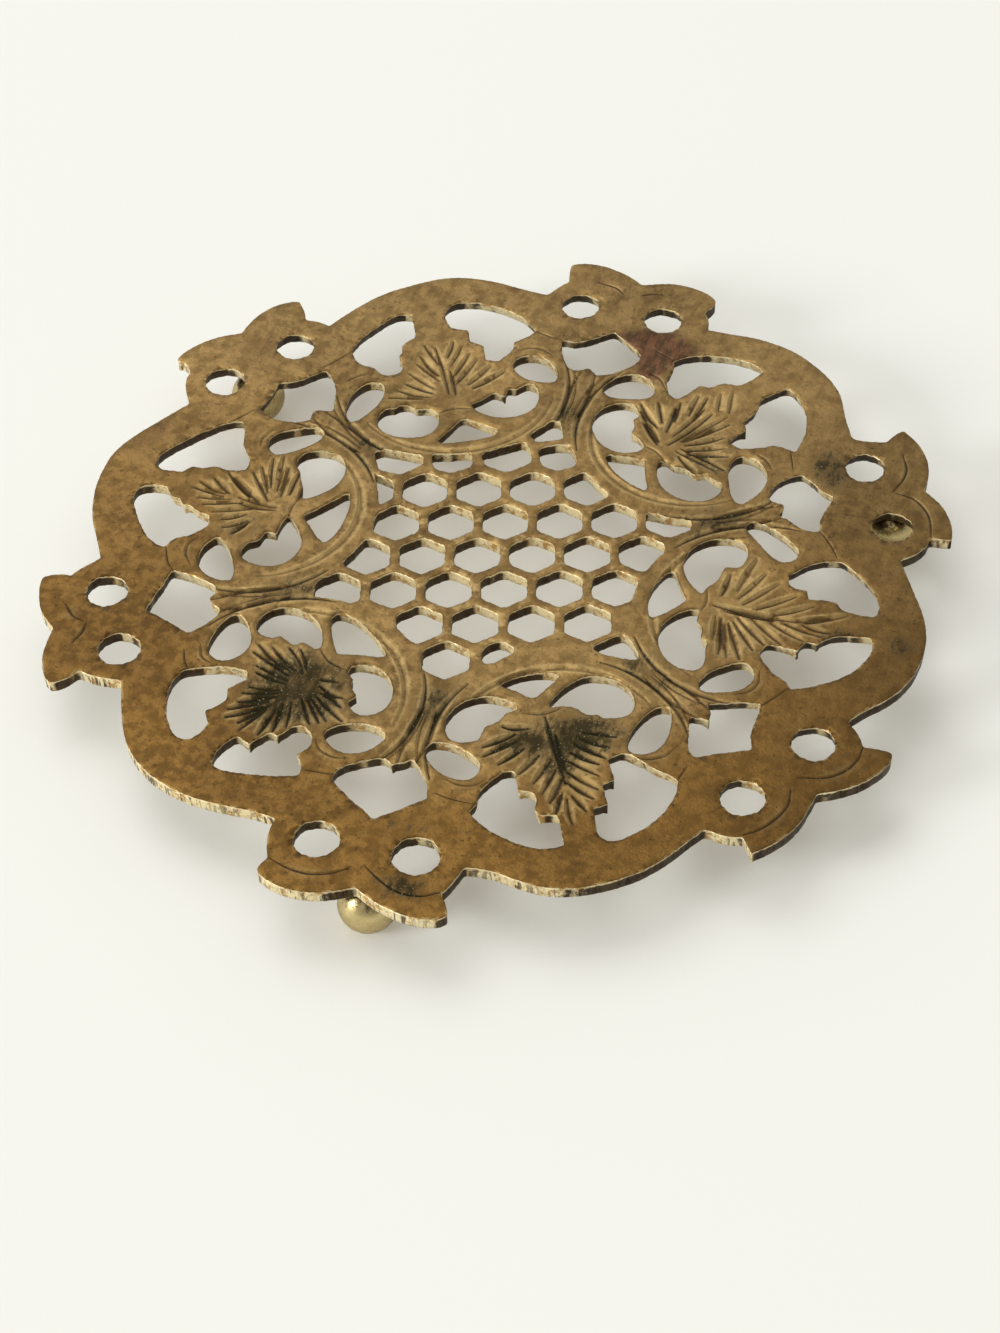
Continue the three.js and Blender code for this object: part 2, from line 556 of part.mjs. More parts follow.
function closedCurve(pairs, steps) {
  const corners = pairs.map(([x, y]) => new THREE.Vector3(x, y, 0));
  const loop = new THREE.CatmullRomCurve3(corners, true, "centripetal").getPoints(steps);
  return loop.slice(0, -1).map((point) => new THREE.Vector2(point.x, point.y));
}

const plateCentre = new THREE.Vector2(0, 0);
const motifCentre = new THREE.Vector2(0, motifDistance);

// Runs of an outline, and the runs joined up. A corner that two runs share is kept once.

function run(pairs) {
  return pairs.length > 2 ? curve(pairs, Math.round(runSteps * (pairs.length - 1))) : dots(pairs);
}

function withoutRepeats(points) {
  return points.filter((point, index) => point.distanceTo(points.at(index - 1)) > samePoint);
}

function runsOutline(runs) {
  return withoutRepeats(runs.flatMap(run));
}

// The outline of the plate, anticlockwise: each ear from right to left, then the scallop after it

function scallopOutline(index, start, end) {
  const middle = placeAll(dots(motifs[index].scallop), motifAngle(index));
  const corners = [start, ...middle, end].map((point) => [point.x, point.y]);
  return curve(corners, scallopSteps).slice(1, -1);
}

function plateOutline() {
  const earParts = ears.map((ear, index) => placeAll(ear.outline.flatMap(run), earAngle(index)));
  const points = [];
  earParts.forEach((ear, index) => {
    const nextEar = earParts[(index + 1) % sectorCount];
    points.push(...ear);
    points.push(...scallopOutline(index, ear.at(-1), nextEar[0]));
  });
  return withoutRepeats(points);
}

function motifPiercings(motif) {
  const sawn = [motif.leftWindow, motif.rightWindow, motif.leftLoop, motif.rightLoop, motif.triangle];
  const round = [motif.leftHole, motif.rightHole];
  return [...sawn.map(runsOutline), ...round.map((corners) => closedCurve(corners, closedSteps))];
}

function platePiercings() {
  const outlines = [];
  motifs.forEach((motif, index) => {
    for (const piercing of motifPiercings(motif)) {
      outlines.push(placeAll(piercing, motifAngle(index)));
    }
  });
  ears.forEach((ear, index) => {
    outlines.push(placeAll(runsOutline(ear.window), earAngle(index)));
    for (const hole of ear.holes) {
      outlines.push(placeAll(circle(dots([hole.at])[0], hole.radius, holeSides), earAngle(index)));
    }
  });
  return outlines.map((points) => new THREE.Path(points));
}

// Solids for joining and cutting

function extrude(shape, bottom, height) {
  const settings = { depth: height, bevelEnabled: false, curveSegments: 1 };
  const geometry = new THREE.ExtrudeGeometry(shape, settings);
  geometry.translate(0, 0, bottom);
  return geometry;
}

function solidFrom(geometry) {
  const plain = geometry.clone();
  plain.deleteAttribute("normal");
  plain.deleteAttribute("uv");
  const merged = mergeVertices(plain, 1e-4);
  const mesh = new wasm.Mesh({
    numProp: 3,
    vertProperties: new Float32Array(merged.attributes.position.array),
    triVerts: new Uint32Array(merged.index.array),
  });
  return new wasm.Manifold(mesh);
}

function geometryFrom(solid) {
  const mesh = solid.getMesh();
  const positions = new Float32Array(mesh.vertProperties);
  const geometry = new THREE.BufferGeometry();
  geometry.setAttribute("position", new THREE.BufferAttribute(positions, 3));
  geometry.setIndex(new THREE.BufferAttribute(new Uint32Array(mesh.triVerts), 1));
  geometry.computeVertexNormals();
  return geometry;
}

function throughCut(points) {
  const height = plateThickness + 2 * cutterMargin;
  return solidFrom(extrude(new THREE.Shape(points), footHeight - cutterMargin, height));
}

// Honeycomb: hexagons in rows, kept inside the field that the six rings leave between them

function honeycombField() {
  let field = throughCut(circle(plateCentre, honeycombReach, fieldSides));
  for (let index = 0; index < sectorCount; index += 1) {
    const ring = circle(motifCentre, ringOuterRadius, ringSides);
    field = field.subtract(throughCut(placeAll(ring, motifAngle(index))));
  }
  return field;
}

function cellOutline(column, row) {
  const across = (column + (row % 2 === 0 ? 0.5 : 0)) * cellPitch;
  const along = row * cellPitch * Math.cos(radians(30));
  const turn = radians(honeycombTurn);
  const centre = new THREE.Vector2(
    honeycombShift[0] + across * Math.cos(turn) - along * Math.sin(turn),
    honeycombShift[1] + across * Math.sin(turn) + along * Math.cos(turn),
  );
  const cornerRadius = (cellPitch - cellWall) / 2 / Math.cos(radians(30));
  const firstCorner = honeycombTurn + 30;
  return arc(centre, cornerRadius, firstCorner, firstCorner + 360, 6).slice(0, -1);
}

function honeycombCuts() {
  const field = honeycombField();
  const cuts = oddCells.map((corners) => throughCut(dots(corners)));
  for (let row = -honeycombRows; row <= honeycombRows; row += 1) {
    for (let column = -honeycombRows; column <= honeycombRows; column += 1) {
      const uncut = uncutCells.some((cell) => cell[0] === column && cell[1] === row);
      const cut = throughCut(cellOutline(column, row)).intersect(field);
      if (!uncut && cut.volume() > smallestCellVolume) {
        cuts.push(cut);
      }
    }
  }
  return cuts;
}

// Chased work: a V-shaped cut along a path. Its first and last section are drawn smaller
// by the two fractions, so that the cut gets narrower and shallower there.

function grooveCut(path, width, depth, startFraction, endFraction) {
  const positions = [];
  const last = path.length - 1;
  path.forEach((point, index) => {
    const before = path[Math.max(index - 1, 0)];
    const after = path[Math.min(index + 1, last)];
    const along = new THREE.Vector2().subVectors(after, before).normalize();
    let scale = 1;
    if (index === 0) {
      scale = startFraction;
    }
    if (index === last) {
      scale = endFraction;
    }
    const half = (width / 2) * scale * (1 + grooveCutterLift / depth);
    const side = new THREE.Vector2(-along.y, along.x).multiplyScalar(half);
    positions.push(point.x + side.x, point.y + side.y, plateTop + grooveCutterLift * scale);
    positions.push(point.x - side.x, point.y - side.y, plateTop + grooveCutterLift * scale);
    positions.push(point.x, point.y, plateTop - depth * scale);
  });
  const indices = [0, 2, 1];
  for (let step = 0; step < last; step += 1) {
    for (const [a, b] of [[0, 1], [1, 2], [2, 0]]) {
      const near = 3 * step;
      const far = near + 3;
      indices.push(near + a, near + b, far + b, near + a, far + b, far + a);
    }
  }
  indices.push(3 * last, 3 * last + 1, 3 * last + 2);
  const geometry = new THREE.BufferGeometry();
  geometry.setAttribute("position", new THREE.BufferAttribute(new Float32Array(positions), 3));
  geometry.setIndex(indices);
  return geometry;
}

function leafVeins() {
  const right = [
    dots([[0.9, 45.2], [2.6, 62.5]]),
    dots([[1.6, 45.6], [5.6, 59.5]]),
    dots([[2.4, 45.8], [8.6, 56]]),
    dots([[3, 45.6], [12, 52.2]]),
    dots([[3.2, 45.2], [13.2, 49.2]]),
  ];
  return [...right, ...right.map(mirrored).map((vein) => vein.reverse())];
}

function leafletVeins() {
  return [dots([[1.4, 51.5], [2.6, 58]]), dots([[-1.4, 51.5], [-2.6, 58]])];
}

function earLines({ holes }) {
  const rightHole = dots([holes[0].at])[0];
  const leftHole = dots([holes[1].at])[0];
  const joint = curve([[9.6, 64.2], [13.4, 64.6], [17.2, 65.6]], 2);
  return [
    arc(rightHole, earLineRadius, 46, 146, 5),
    arc(leftHole, earLineRadius, 34, 134, 5),
    joint,
    mirrored(joint),
  ];
}

function ringGroove() {
  return arc(motifCentre, ringInnerRadius, ringGrooveStart, ringGrooveEnd, 10);
}

function chasedCuts() {
  const cuts = [];
  for (let index = 0; index < sectorCount; index += 1) {
    for (const vein of leafVeins()) {
      cuts.push(grooveCut(placeAll(vein, motifAngle(index)), veinWidth, veinDepth, 1, 0.4));
    }
    for (const vein of leafletVeins()) {
      cuts.push(grooveCut(placeAll(vein, earAngle(index)), veinWidth, veinDepth, 1, 0.5));
    }
    for (const line of earLines(ears[index])) {
      cuts.push(grooveCut(placeAll(line, earAngle(index)), lineWidth, lineDepth, 0.5, 0.5));
    }
    const groove = placeAll(ringGroove(), motifAngle(index));
    cuts.push(grooveCut(groove, ringGrooveWidth, ringGrooveDepth, 0.4, 0.4));
  }
  return cuts.map(solidFrom);
}

// Blind sockets in the underside, one for each foot's spigot

function footPosition({ ear, at }) {
  return place(new THREE.Vector2(...at), earAngle(ear));
}

function socketCut(foot) {
  const radius = spigotRadius + socketClearance;
  const height = socketDepth + cutterMargin;
  const cylinder = new THREE.CylinderGeometry(radius, radius, height, turningSides);
  const at = footPosition(foot);
  cylinder.rotateX(Math.PI / 2);
  cylinder.translate(at.x, at.y, footHeight + socketDepth - height / 2);
  return solidFrom(cylinder);
}

function plateGeometry() {
  const shape = new THREE.Shape(plateOutline());
  shape.holes = platePiercings();
  let plate = solidFrom(extrude(shape, footHeight, plateThickness));
  for (const cut of [...honeycombCuts(), ...chasedCuts(), ...feet.map(socketCut)]) {
    plate = plate.subtract(cut);
  }
  return geometryFrom(plate);
}

// One ball foot: a turned ball with a small flat under it, a seat on top and a spigot above the seat

function ballFootGeometry() {
  const centreHeight = Math.sqrt(ballRadius ** 2 - ballBaseRadius ** 2);
  const baseAngle = -THREE.MathUtils.radToDeg(Math.acos(ballBaseRadius / ballRadius));
  const seatAngle = THREE.MathUtils.radToDeg(Math.acos(ballSeatRadius / ballRadius));
  const seatHeight = footHeight - brazeGap;
  const ball = arc(new THREE.Vector2(0, centreHeight), ballRadius, baseAngle, seatAngle, ballRings);
  ball[0].y = 0;
  const profile = [
    new THREE.Vector2(0, 0),
    ...ball,
    new THREE.Vector2(ballSeatRadius, seatHeight),
    new THREE.Vector2(spigotRadius, seatHeight),
    new THREE.Vector2(spigotRadius, seatHeight + spigotLength),
    new THREE.Vector2(0, seatHeight + spigotLength),
  ];
  const geometry = new THREE.LatheGeometry(profile, turningSides);
  geometry.rotateX(Math.PI / 2);
  return geometry;
}

// Materials

const patinatedBrass = new THREE.MeshStandardMaterial({
  color: 0x8a6a38,
  roughness: 0.48,
  metalness: 0.85,
});
const turnedBrass = new THREE.MeshStandardMaterial({
  color: 0xc9ad6e,
  roughness: 0.32,
  metalness: 0.9,
});

// Assembly

function trivetPlate() {
  const mesh = new THREE.Mesh(plateGeometry(), patinatedBrass);
  mesh.name = "trivet_plate";
  return mesh;
}

function ballFoot(foot) {
  const mesh = new THREE.Mesh(ballFootGeometry(), turnedBrass);
  const at = footPosition(foot);
  mesh.name = foot.name;
  mesh.position.set(at.x, at.y, 0);
  return mesh;
}

const group = new THREE.Group();
group.add(trivetPlate());
for (const foot of feet) {
  group.add(ballFoot(foot));
}

export default group;
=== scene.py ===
# %% [markdown]
# # A brass trivet
# A trivet keeps a hot pot off the table. This one is a flat brass plate, cast, sawn through in
# more than ninety places and then chased with a graver, and it stands on three turned balls.
# Blender gets the plate's outlines from the CAD model, so that both models agree, and adds
# what a flat solid can't show: filed edges, tool strokes, saw marks, wear and old patina.

# %% The CAD frame and the units
import math

import bpy
import numpy as np
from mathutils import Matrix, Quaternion, Vector, geometry


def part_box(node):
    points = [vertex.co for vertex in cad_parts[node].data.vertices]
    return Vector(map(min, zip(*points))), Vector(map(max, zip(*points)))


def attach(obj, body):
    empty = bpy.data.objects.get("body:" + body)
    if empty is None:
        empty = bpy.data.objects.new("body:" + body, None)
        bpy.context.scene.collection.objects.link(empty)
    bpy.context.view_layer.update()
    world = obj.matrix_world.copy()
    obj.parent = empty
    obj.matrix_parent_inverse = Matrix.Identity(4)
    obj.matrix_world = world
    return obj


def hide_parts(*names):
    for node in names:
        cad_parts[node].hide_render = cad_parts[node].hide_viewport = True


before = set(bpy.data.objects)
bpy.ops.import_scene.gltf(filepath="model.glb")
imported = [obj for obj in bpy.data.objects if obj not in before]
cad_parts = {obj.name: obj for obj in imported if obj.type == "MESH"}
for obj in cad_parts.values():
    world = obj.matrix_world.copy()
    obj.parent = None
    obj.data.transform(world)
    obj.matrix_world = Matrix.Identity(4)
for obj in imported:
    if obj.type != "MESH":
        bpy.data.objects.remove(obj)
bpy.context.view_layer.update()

MM = 0.001
PLATE = "trivet_plate"
FEET = sorted(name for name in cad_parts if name.startswith("ball_foot"))
plate_low, plate_high = (np.array(corner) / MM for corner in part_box(PLATE))
TOP = plate_high[2]
UNDER = plate_low[2]
print("plate in mm", plate_low.round(2), plate_high.round(2), "feet", FEET)

# %% [markdown]
# ## Camera
# The photograph was taken from the front right, looking down at about 47 degrees, with a long
# lens and a slight roll. A camera is easiest to read as a place, a point that it looks at, a lens
# and a roll, and `to_track_quat` turns the first two into a rotation.

# %% The camera
CAMERA_PLACE = Vector((156.0, -421.8, 463.0)) * MM
LOOK_AT = Vector((9.37, -28.98, 14.0)) * MM
CAMERA_ROLL = math.radians(-2.29)
LENS = 84.35

camera_data = bpy.data.cameras.new("camera")
camera_data.lens = LENS
camera = bpy.data.objects.new("camera", camera_data)
bpy.context.scene.collection.objects.link(camera)
aim = (LOOK_AT - CAMERA_PLACE).to_track_quat("-Z", "Y")
camera.rotation_mode = "QUATERNION"
camera.rotation_quaternion = aim @ Quaternion((0, 0, 1), CAMERA_ROLL)
camera.location = CAMERA_PLACE
bpy.context.scene.camera = camera
print("camera looks from", camera.location, "with a lens of", LENS)

# %% [markdown]
# ## The plate's outlines
# The underside of the CAD plate is flat, so the edges that only one of its triangles uses are
# the outlines of the plate and of every opening. Walked from end to end they give closed loops
# with the metal on the left. The CAD loops have few corners. A hand saw leaves smooth stretches
# between sharp turns, so each loop becomes a cubic curve that keeps only its sharp corners.

# %% Outlines from the CAD plate
SOCKET_AREA = 20.0


def loop_area(loop):
    """Area inside a closed loop, by the shoelace formula. It is negative for an opening."""
    ahead = np.roll(loop, -1, axis=0)
    return 0.5 * np.sum(loop[:, 0] * ahead[:, 1] - loop[:, 1] * ahead[:, 0])


def underside_loops(node):
    """Closed outlines, in millimetres, of a node's flat underside: its triangles' directed edges
    whose opposite is missing, joined end to start."""
    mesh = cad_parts[node].data
    mesh.calc_loop_triangles()
    places = np.empty(3 * len(mesh.vertices), np.float32)
    mesh.vertices.foreach_get("co", places)
    corners = np.empty(3 * len(mesh.loop_triangles), np.int32)
    mesh.loop_triangles.foreach_get("vertices", corners)
    places, same = np.unique(np.round(places.reshape(-1, 3) / MM, 3), axis=0, return_inverse=True)
    triangles = same.reshape(-1)[corners].reshape(-1, 3).astype(np.int64)
    flat = (places[triangles][:, :, 2] < UNDER + 0.01).all(axis=1)
    starts = triangles[flat].ravel()
    ends = np.roll(triangles[flat], -1, axis=1).ravel()
    alone = ~np.isin(starts * len(places) + ends, ends * len(places) + starts)
    following = dict(zip(ends[alone].tolist(), starts[alone].tolist()))
    loops = []
    while following:
        first, step = following.popitem()
        walk = [first]
        while step != first:
            walk.append(step)
            step = following.pop(step)
        loops.append(places[walk][:, :2])
    return loops


cad_loops = [loop for loop in underside_loops(PLATE) if abs(loop_area(loop)) > SOCKET_AREA]
cad_loops.sort(key=loop_area, reverse=True)
print("outlines", len(cad_loops), "corners", sum(len(loop) for loop in cad_loops))

# %% Smooth, evenly spaced, hand-sawn loops
CORNER_TURN = math.radians(38)
OUTLINE_STEP = 0.5
CURVE_SAMPLES = 24
WANDER_LENGTHS = (1.5, 2.6, 5.1, 9.7)
rng = np.random.default_rng(7)


def unit(vectors):
    return vectors / np.maximum(np.linalg.norm(vectors, axis=-1, keepdims=True), 1e-9)


def left_of(directions):
    """Each direction turned a quarter to the left."""
    return np.stack([-directions[..., 1], directions[..., 0]], axis=-1)


def smooth_loop(points, step):
    """A closed loop through the points: a cubic Hermite curve from each point to the next, whose
    tangent is the mean of the two directions there, or at a sharp corner the chord itself. Each
    stretch between two corners is sampled evenly."""
    following = np.roll(points, -1, axis=0)
    chord = np.linalg.norm(following - points, axis=1, keepdims=True)
    ahead = unit(following - points)
    behind = np.roll(ahead, 1, axis=0)
    sharp = np.sum(ahead * behind, axis=1) < math.cos(CORNER_TURN)
    mean = unit(ahead + behind)
    leave = (np.where(sharp[:, None], ahead, mean) * chord)[:, None]
    arrive = (np.roll(np.where(sharp[:, None], behind, mean), -1, axis=0) * chord)[:, None]
    t = (np.arange(CURVE_SAMPLES) / CURVE_SAMPLES)[None, :, None]
    fine = (2 * t**3 - 3 * t**2 + 1) * points[:, None] + (t**3 - 2 * t**2 + t) * leave
    fine = fine + (3 * t**2 - 2 * t**3) * following[:, None] + (t**3 - t**2) * arrive
    fine = fine.reshape(-1, 2)
    corners = np.flatnonzero(sharp) * CURVE_SAMPLES
    if len(corners) == 0:
        corners = np.array([0])
    fine = np.roll(fine, -corners[0], axis=0)
    closed = np.vstack([fine, fine[:1]])
    travelled = np.append(0, np.cumsum(np.linalg.norm(np.diff(closed, axis=0), axis=1)))
    stops = travelled[np.append(corners - corners[0], len(fine))]
    spans = [
        np.linspace(start, end, max(1, round((end - start) / step)), endpoint=False)
        for start, end in zip(stops[:-1], stops[1:])
    ]
    places = np.concatenate(spans)
    return np.stack([np.interp(places, travelled, closed[:, axis]) for axis in (0, 1)], axis=1)


def eased(loop, passes=1):
    """Corners drawn in by a quarter of the bend at each point, once or more."""
    for _ in range(passes):
        loop = loop + 0.25 * (np.roll(loop, 1, axis=0) + np.roll(loop, -1, axis=0) - 2 * loop)
    return loop


def metal_side(loop):
    """The direction into the metal at each point of a loop."""
    return left_of(unit(np.roll(loop, -1, axis=0) - np.roll(loop, 1, axis=0)))


def along(loop):
    """Distance travelled along a closed loop up to each of its points, and its whole length."""
    steps = np.linalg.norm(np.roll(loop, -1, axis=0) - loop, axis=1)
    return np.append(0, np.cumsum(steps))[:-1], steps.sum()


def wandered(loop, amount):
    """A saw cut's slight wander: the sum of a few waves along the loop, each with a whole number
    of turns, moved into the metal."""
    travelled, length = along(loop)
    shift = np.zeros(len(loop))
    for wave in WANDER_LENGTHS:
        turns = max(1, round(length / wave))
        shift += np.sin(2 * math.pi * (turns * travelled / length + rng.random()))
    shift = amount * (shift / len(WANDER_LENGTHS) + 1) / 2
    return loop + metal_side(loop) * shift[:, None]

# %% [markdown]
# ## Six leaves and six ears
# The plate was drawn six times round. A leaf stands in a ring under each scallop of the rim, and
# an ear stands between two scallops. Each has a frame of its own: across first, outwards second.

# %% Frames of the six leaves and the six ears
EAR_ANGLES = [-90 + 60 * index for index in range(6)]
LEAF_ANGLES = [-60 + 60 * index for index in range(6)]
RING_CENTRE = np.array([0.0, 54.0])


def turned(points, angle):
    """Points of a leaf's or an ear's own frame, in the plate's frame."""
    turn = math.radians(angle)
    axes = np.array([[math.sin(turn), -math.cos(turn)], [math.cos(turn), math.sin(turn)]])
    return np.asarray(points, float) @ axes


# %% Kinds of opening
# Every kind was cut in its own way: the radius of its filed edge, how far the saw wandered, and
# how far the wall leans in under the plate, in millimetres.
KINDS = {
    "outer": (0.15, 0.12, 0.1),
    "cell": (0.2, 0.32, 0.15),
    "window": (0.12, 0.3, 1.3),
    "ear_hole": (0.12, 0.5, 0.9),
    "side_hole": (0.4, 0.15, 0.3),
    "bar": (0.6, 0.15, 0.35),
}
EAR_HOLE_AREA = 90.0
EAR_HOLES_FROM = 74.0
RING_INSIDE = 23.0
WINDOWS_FROM = 62.0
FIELD_END = 45.0
BARS_END = 48.0


def kind_of(loop):
    """What a loop outlines, from its size and its place in the nearest leaf's frame."""
    if loop_area(loop) > 0:
        return "outer"
    centre = loop.mean(axis=0)
    if np.linalg.norm(centre) > EAR_HOLES_FROM and abs(loop_area(loop)) < EAR_HOLE_AREA:
        return "ear_hole"
    spokes = [centre @ turned([(1, 0), (0, 1)], angle).T for angle in LEAF_ANGLES]
    across, outwards = max(spokes, key=lambda spoke: spoke[1])
    if np.linalg.norm([across, outwards - RING_CENTRE[1]]) > RING_INSIDE or outwards > WINDOWS_FROM:
        return "cell" if outwards < FIELD_END else "window"
    return "bar" if outwards < BARS_END else "side_hole"


kinds = [kind_of(loop) for loop in cad_loops]
CELL_EASING = 3
loops = [
    wandered(
        eased(smooth_loop(loop, OUTLINE_STEP), CELL_EASING if kind == "cell" else 1),
        KINDS[kind][1],
    )
    for loop, kind in zip(cad_loops, kinds)
]
loops = [np.clip(loop, plate_low[:2], plate_high[:2]) for loop in loops]
outline = np.vstack(loops)
print("outline points", len(outline), {kind: kinds.count(kind) for kind in KINDS})

# %% [markdown]
# ## Tool strokes
# Each leaf and each ear was chased by hand, so their strokes are listed one by one, in their own
# frames, in millimetres. A stroke is a V-shaped cut along a smooth line, widest and deepest in
# the middle, and dark where old polish has settled in it.

# %% Veins of the leaves, each from its tip to its base
LEAF_VEINS = [
    [(-2.2, 69.6, -0.7, 66), (-4.3, 67, -0.9, 62.6), (-5.6, 64.8, -1.2, 59.6),
     (-6.4, 61.3, -2, 56.8), (-7.2, 58.6, -2.8, 54.6), (-8.6, 57.2, -4, 52.6),
     (-9.8, 54.8, -5.4, 51.4), (-11.8, 52.6, -6.6, 50.2), (0.9, 72.2, 0.6, 66.5),
     (3.4, 69, 1.3, 64.6), (4, 66.2, 1, 61.4), (4.8, 63.4, 1.5, 58.6), (6, 60.6, 2.2, 56.2),
     (8.4, 57.8, 3.8, 54), (11.6, 54.6, 6.2, 51.6), (14, 52, 7.4, 49.6), (13.6, 49.6, 7.6, 47.8),
     (9, 45.2, 4.6, 46.4), (0.1, 62, 0.3, 46.5), (-0.6, 58.5, -0.7, 50)],
    [(1, 68.4, 0.4, 63.6), (2.3, 67.4, 0.9, 60.4), (4.4, 64.2, 1.4, 57.2), (6.4, 60.2, 1.8, 53.8),
     (7.6, 57.2, 2.2, 50.8), (9.6, 55.4, 3.4, 50), (12.8, 53.6, 4.4, 49.2), (13, 51, 4.6, 48.2),
     (12.6, 49.2, 3.6, 47.2), (8.8, 47, 3, 45.9), (-4.6, 70.6, -1, 64.4), (-3.2, 67.6, -0.8, 62.4),
     (-5.4, 63.8, -1.4, 57.6), (-7.2, 59.8, -2.2, 53.8), (-9.6, 55.6, -3, 50.8),
     (-11.4, 52.4, -3.8, 49), (-14.8, 49.6, -6, 48.2), (-9, 45.6, -3.6, 45.4),
     (-0.4, 61.8, -0.1, 46.8), (0.6, 57, 0.7, 48)],
    [(-3.8, 69, -0.4, 64.6), (-5.4, 67, -2.4, 63.2), (-6.4, 64, -4, 57.6), (-8, 62.8, -5.6, 57.8),
     (-9.2, 58.6, -6.6, 54.6), (-4.4, 61, -3.2, 51.6), (-8.8, 56.8, -5.4, 51.2),
     (-12.4, 55.2, -8, 52), (-14.6, 52.2, -8, 50.2), (-13, 50.6, -5, 47.6), (-9.8, 48.6, -3.6, 46.4),
     (-2.2, 61, -1.8, 49.4), (0.6, 62.6, -0.6, 51), (2.6, 61.6, 0.2, 52.6), (4.6, 58, 1.2, 51.4),
     (7, 55.8, 2.4, 50), (9.4, 54.6, 3.6, 49.4), (12, 51, 2.4, 49.4), (11, 49.6, 1.8, 48),
     (8.4, 46, 2.6, 47)],
    [(-1.6, 66.4, -1.4, 53.6), (0.2, 58.6, 0, 52), (-3.8, 67.6, -2.2, 62.4), (-5.2, 64.2, -2.8, 58.4),
     (-6.4, 62.2, -3, 56.8), (-8.4, 59.4, -4.4, 54.4), (-9.8, 56.4, -5, 52.8), (-11.8, 54.6, -6.2, 51.8),
     (-14.2, 52.8, -8, 51.4), (2.6, 67.6, 0.6, 63.4), (4, 65.6, 1.2, 61.2), (5.2, 63, 1.2, 57.6),
     (6.4, 60.8, 1.8, 55.6), (9, 58.2, 3.4, 53.8), (11.4, 55.6, 4.6, 52.6)],
    [(0.6, 68, 0.2, 62), (2.6, 67.4, 1.2, 62), (4.4, 65, 1.6, 60.8), (6.8, 62.8, 2.2, 56.8),
     (6, 61, 1.6, 54.6), (8.6, 58, 2.6, 52.8), (10.6, 56.8, 4.6, 53.4), (13.6, 55.4, 6, 53),
     (14.8, 53.6, 6, 51.6), (12, 51.4, 4.6, 50.2), (-4.8, 61.6, -1.6, 54.8), (-3.4, 64.4, -0.6, 57.6),
     (-1.8, 66, -0.2, 60), (-6.4, 59, -3.6, 55.2), (-8.6, 58, -5.2, 54.2), (-9.8, 55.6, -5.6, 53.6),
     (9.6, 45.8, 4.6, 46), (-0.8, 57, -0.4, 50.2), (0.9, 58.2, 0.5, 50.6), (11, 48.6, 5, 48.4)],
    [(-4.2, 66.6, -1.2, 60), (-0.8, 68.4, -0.2, 62), (0.8, 67.6, 0.4, 61), (3.6, 68.4, 1.2, 62),
     (4.8, 66.6, 1.6, 60), (5, 64, 1.6, 58), (6.4, 62, 2.2, 57), (6.8, 60, 2.4, 56),
     (-5.4, 64, -1.6, 58.6), (-6.2, 61.2, -2, 56.6), (-8.6, 57.4, -3, 54.6), (-9.8, 56, -3.4, 53.6),
     (-10.4, 54.6, -3.6, 52.8), (-12.6, 52.4, -4.6, 51.8), (9, 56.6, 3.2, 54.2), (10.4, 55.4, 3.8, 53.4),
     (13.6, 53.6, 5, 52.4), (14.4, 51.6, 5.4, 51.2), (12, 50, 5, 50.4), (9.8, 47.6, 3.6, 49.6),
     (8, 46.2, 3.2, 48.6), (-9.4, 50.2, -3.8, 50.6), (-7.6, 48.4, -3, 49.4), (-3.6, 46.4, -1, 48.4)],
]

# %% Lines over the side holes of the leaves, where the stem divides, and round the ears' holes
SIDE_ARCS = [
    [[(14.6, 57.9), (17, 58.7), (20, 58), (22.6, 55.6)],
     [(-22.6, 57.8), (-20, 59.4), (-16.6, 59.6), (-14, 58.4)]],
    [[(15, 58.4), (18, 58.9), (20.8, 57.6), (22.4, 55)]],
    [[(-21.4, 59.8), (-18, 60.6), (-14.4, 59.2)], [(13, 59.2), (16, 59.4), (18.6, 58.4)]],
    [[(15.4, 61.4), (18.4, 61.9), (21, 60.6), (22.8, 58.2)], [(-22.2, 60), (-19.6, 61.3), (-17, 61.4)]],
    [[(-20.6, 60.2), (-18, 62.2), (-15.4, 62.8), (-12.8, 61.6)], [(16.4, 59.6), (19, 60), (21.8, 58.8)]],
    [[(-20.8, 57.6), (-18.6, 59.5), (-15.4, 60.2), (-12.8, 59.2)], [(16.6, 61.6), (19.6, 61.9), (22.4, 60)]],
]
STEM_FORKS = [(0.3, 42.9), (-0.2, 42.3), (-1.8, 43.9), (-1.2, 46), (1.2, 45.9), (1.7, 43.4)]
EAR_ARCS = [
    [[(-17, 86.2), (-14, 88), (-10, 88.4), (-6, 87), (-2, 84.6)],
     [(1.5, 86.2), (4, 88), (8, 89.3), (12, 89.1), (15.8, 88)]],
    [[(-16.8, 85.6), (-14, 87), (-10, 87.4), (-6, 86), (-2.6, 82.8)],
     [(1, 84), (4, 86.2), (8, 87), (12, 86.8), (15.5, 85.6)]],
    [[(-11, 87.6), (-7, 87.2), (-4, 85.6), (-1, 82.6)],
     [(-0.4, 83), (2, 86), (5.5, 87.4), (9, 87.5), (13.5, 86.4)]],
    [[(-7, 88), (-3, 87.4), (-0.5, 85.6)], [(3, 86.4), (5, 87.6), (7, 88)]],
    [],
    [[(-4, 87.8), (-2, 86), (0, 85)], [(1, 85.6), (3, 87.4), (6.4, 88.4)]],
]
EAR_JOINTS = [
    [[(-15.5, 64), (-12, 64.1), (-7.8, 63.6)], [(12, 65), (17.8, 65.6)]],
    [[(-17, 65), (-10, 64.8)], [(11.5, 66.5), (15, 67.5)]],
    [[(-17, 65), (-12, 64.2)], [(7, 64.8), (11, 65.8), (15, 66.2)]],
    [[(-15.5, 68.4), (-12, 67.6), (-9, 67.4)], [(11, 70), (16, 68)]],
    [[(-17, 70), (-10, 69.6)], [(10, 70), (17, 69.8)]],
    [[(-17, 66.6), (-14, 66.9), (-11, 66.6)], [(11, 66), (14, 66.8), (18.4, 66.6)]],
]
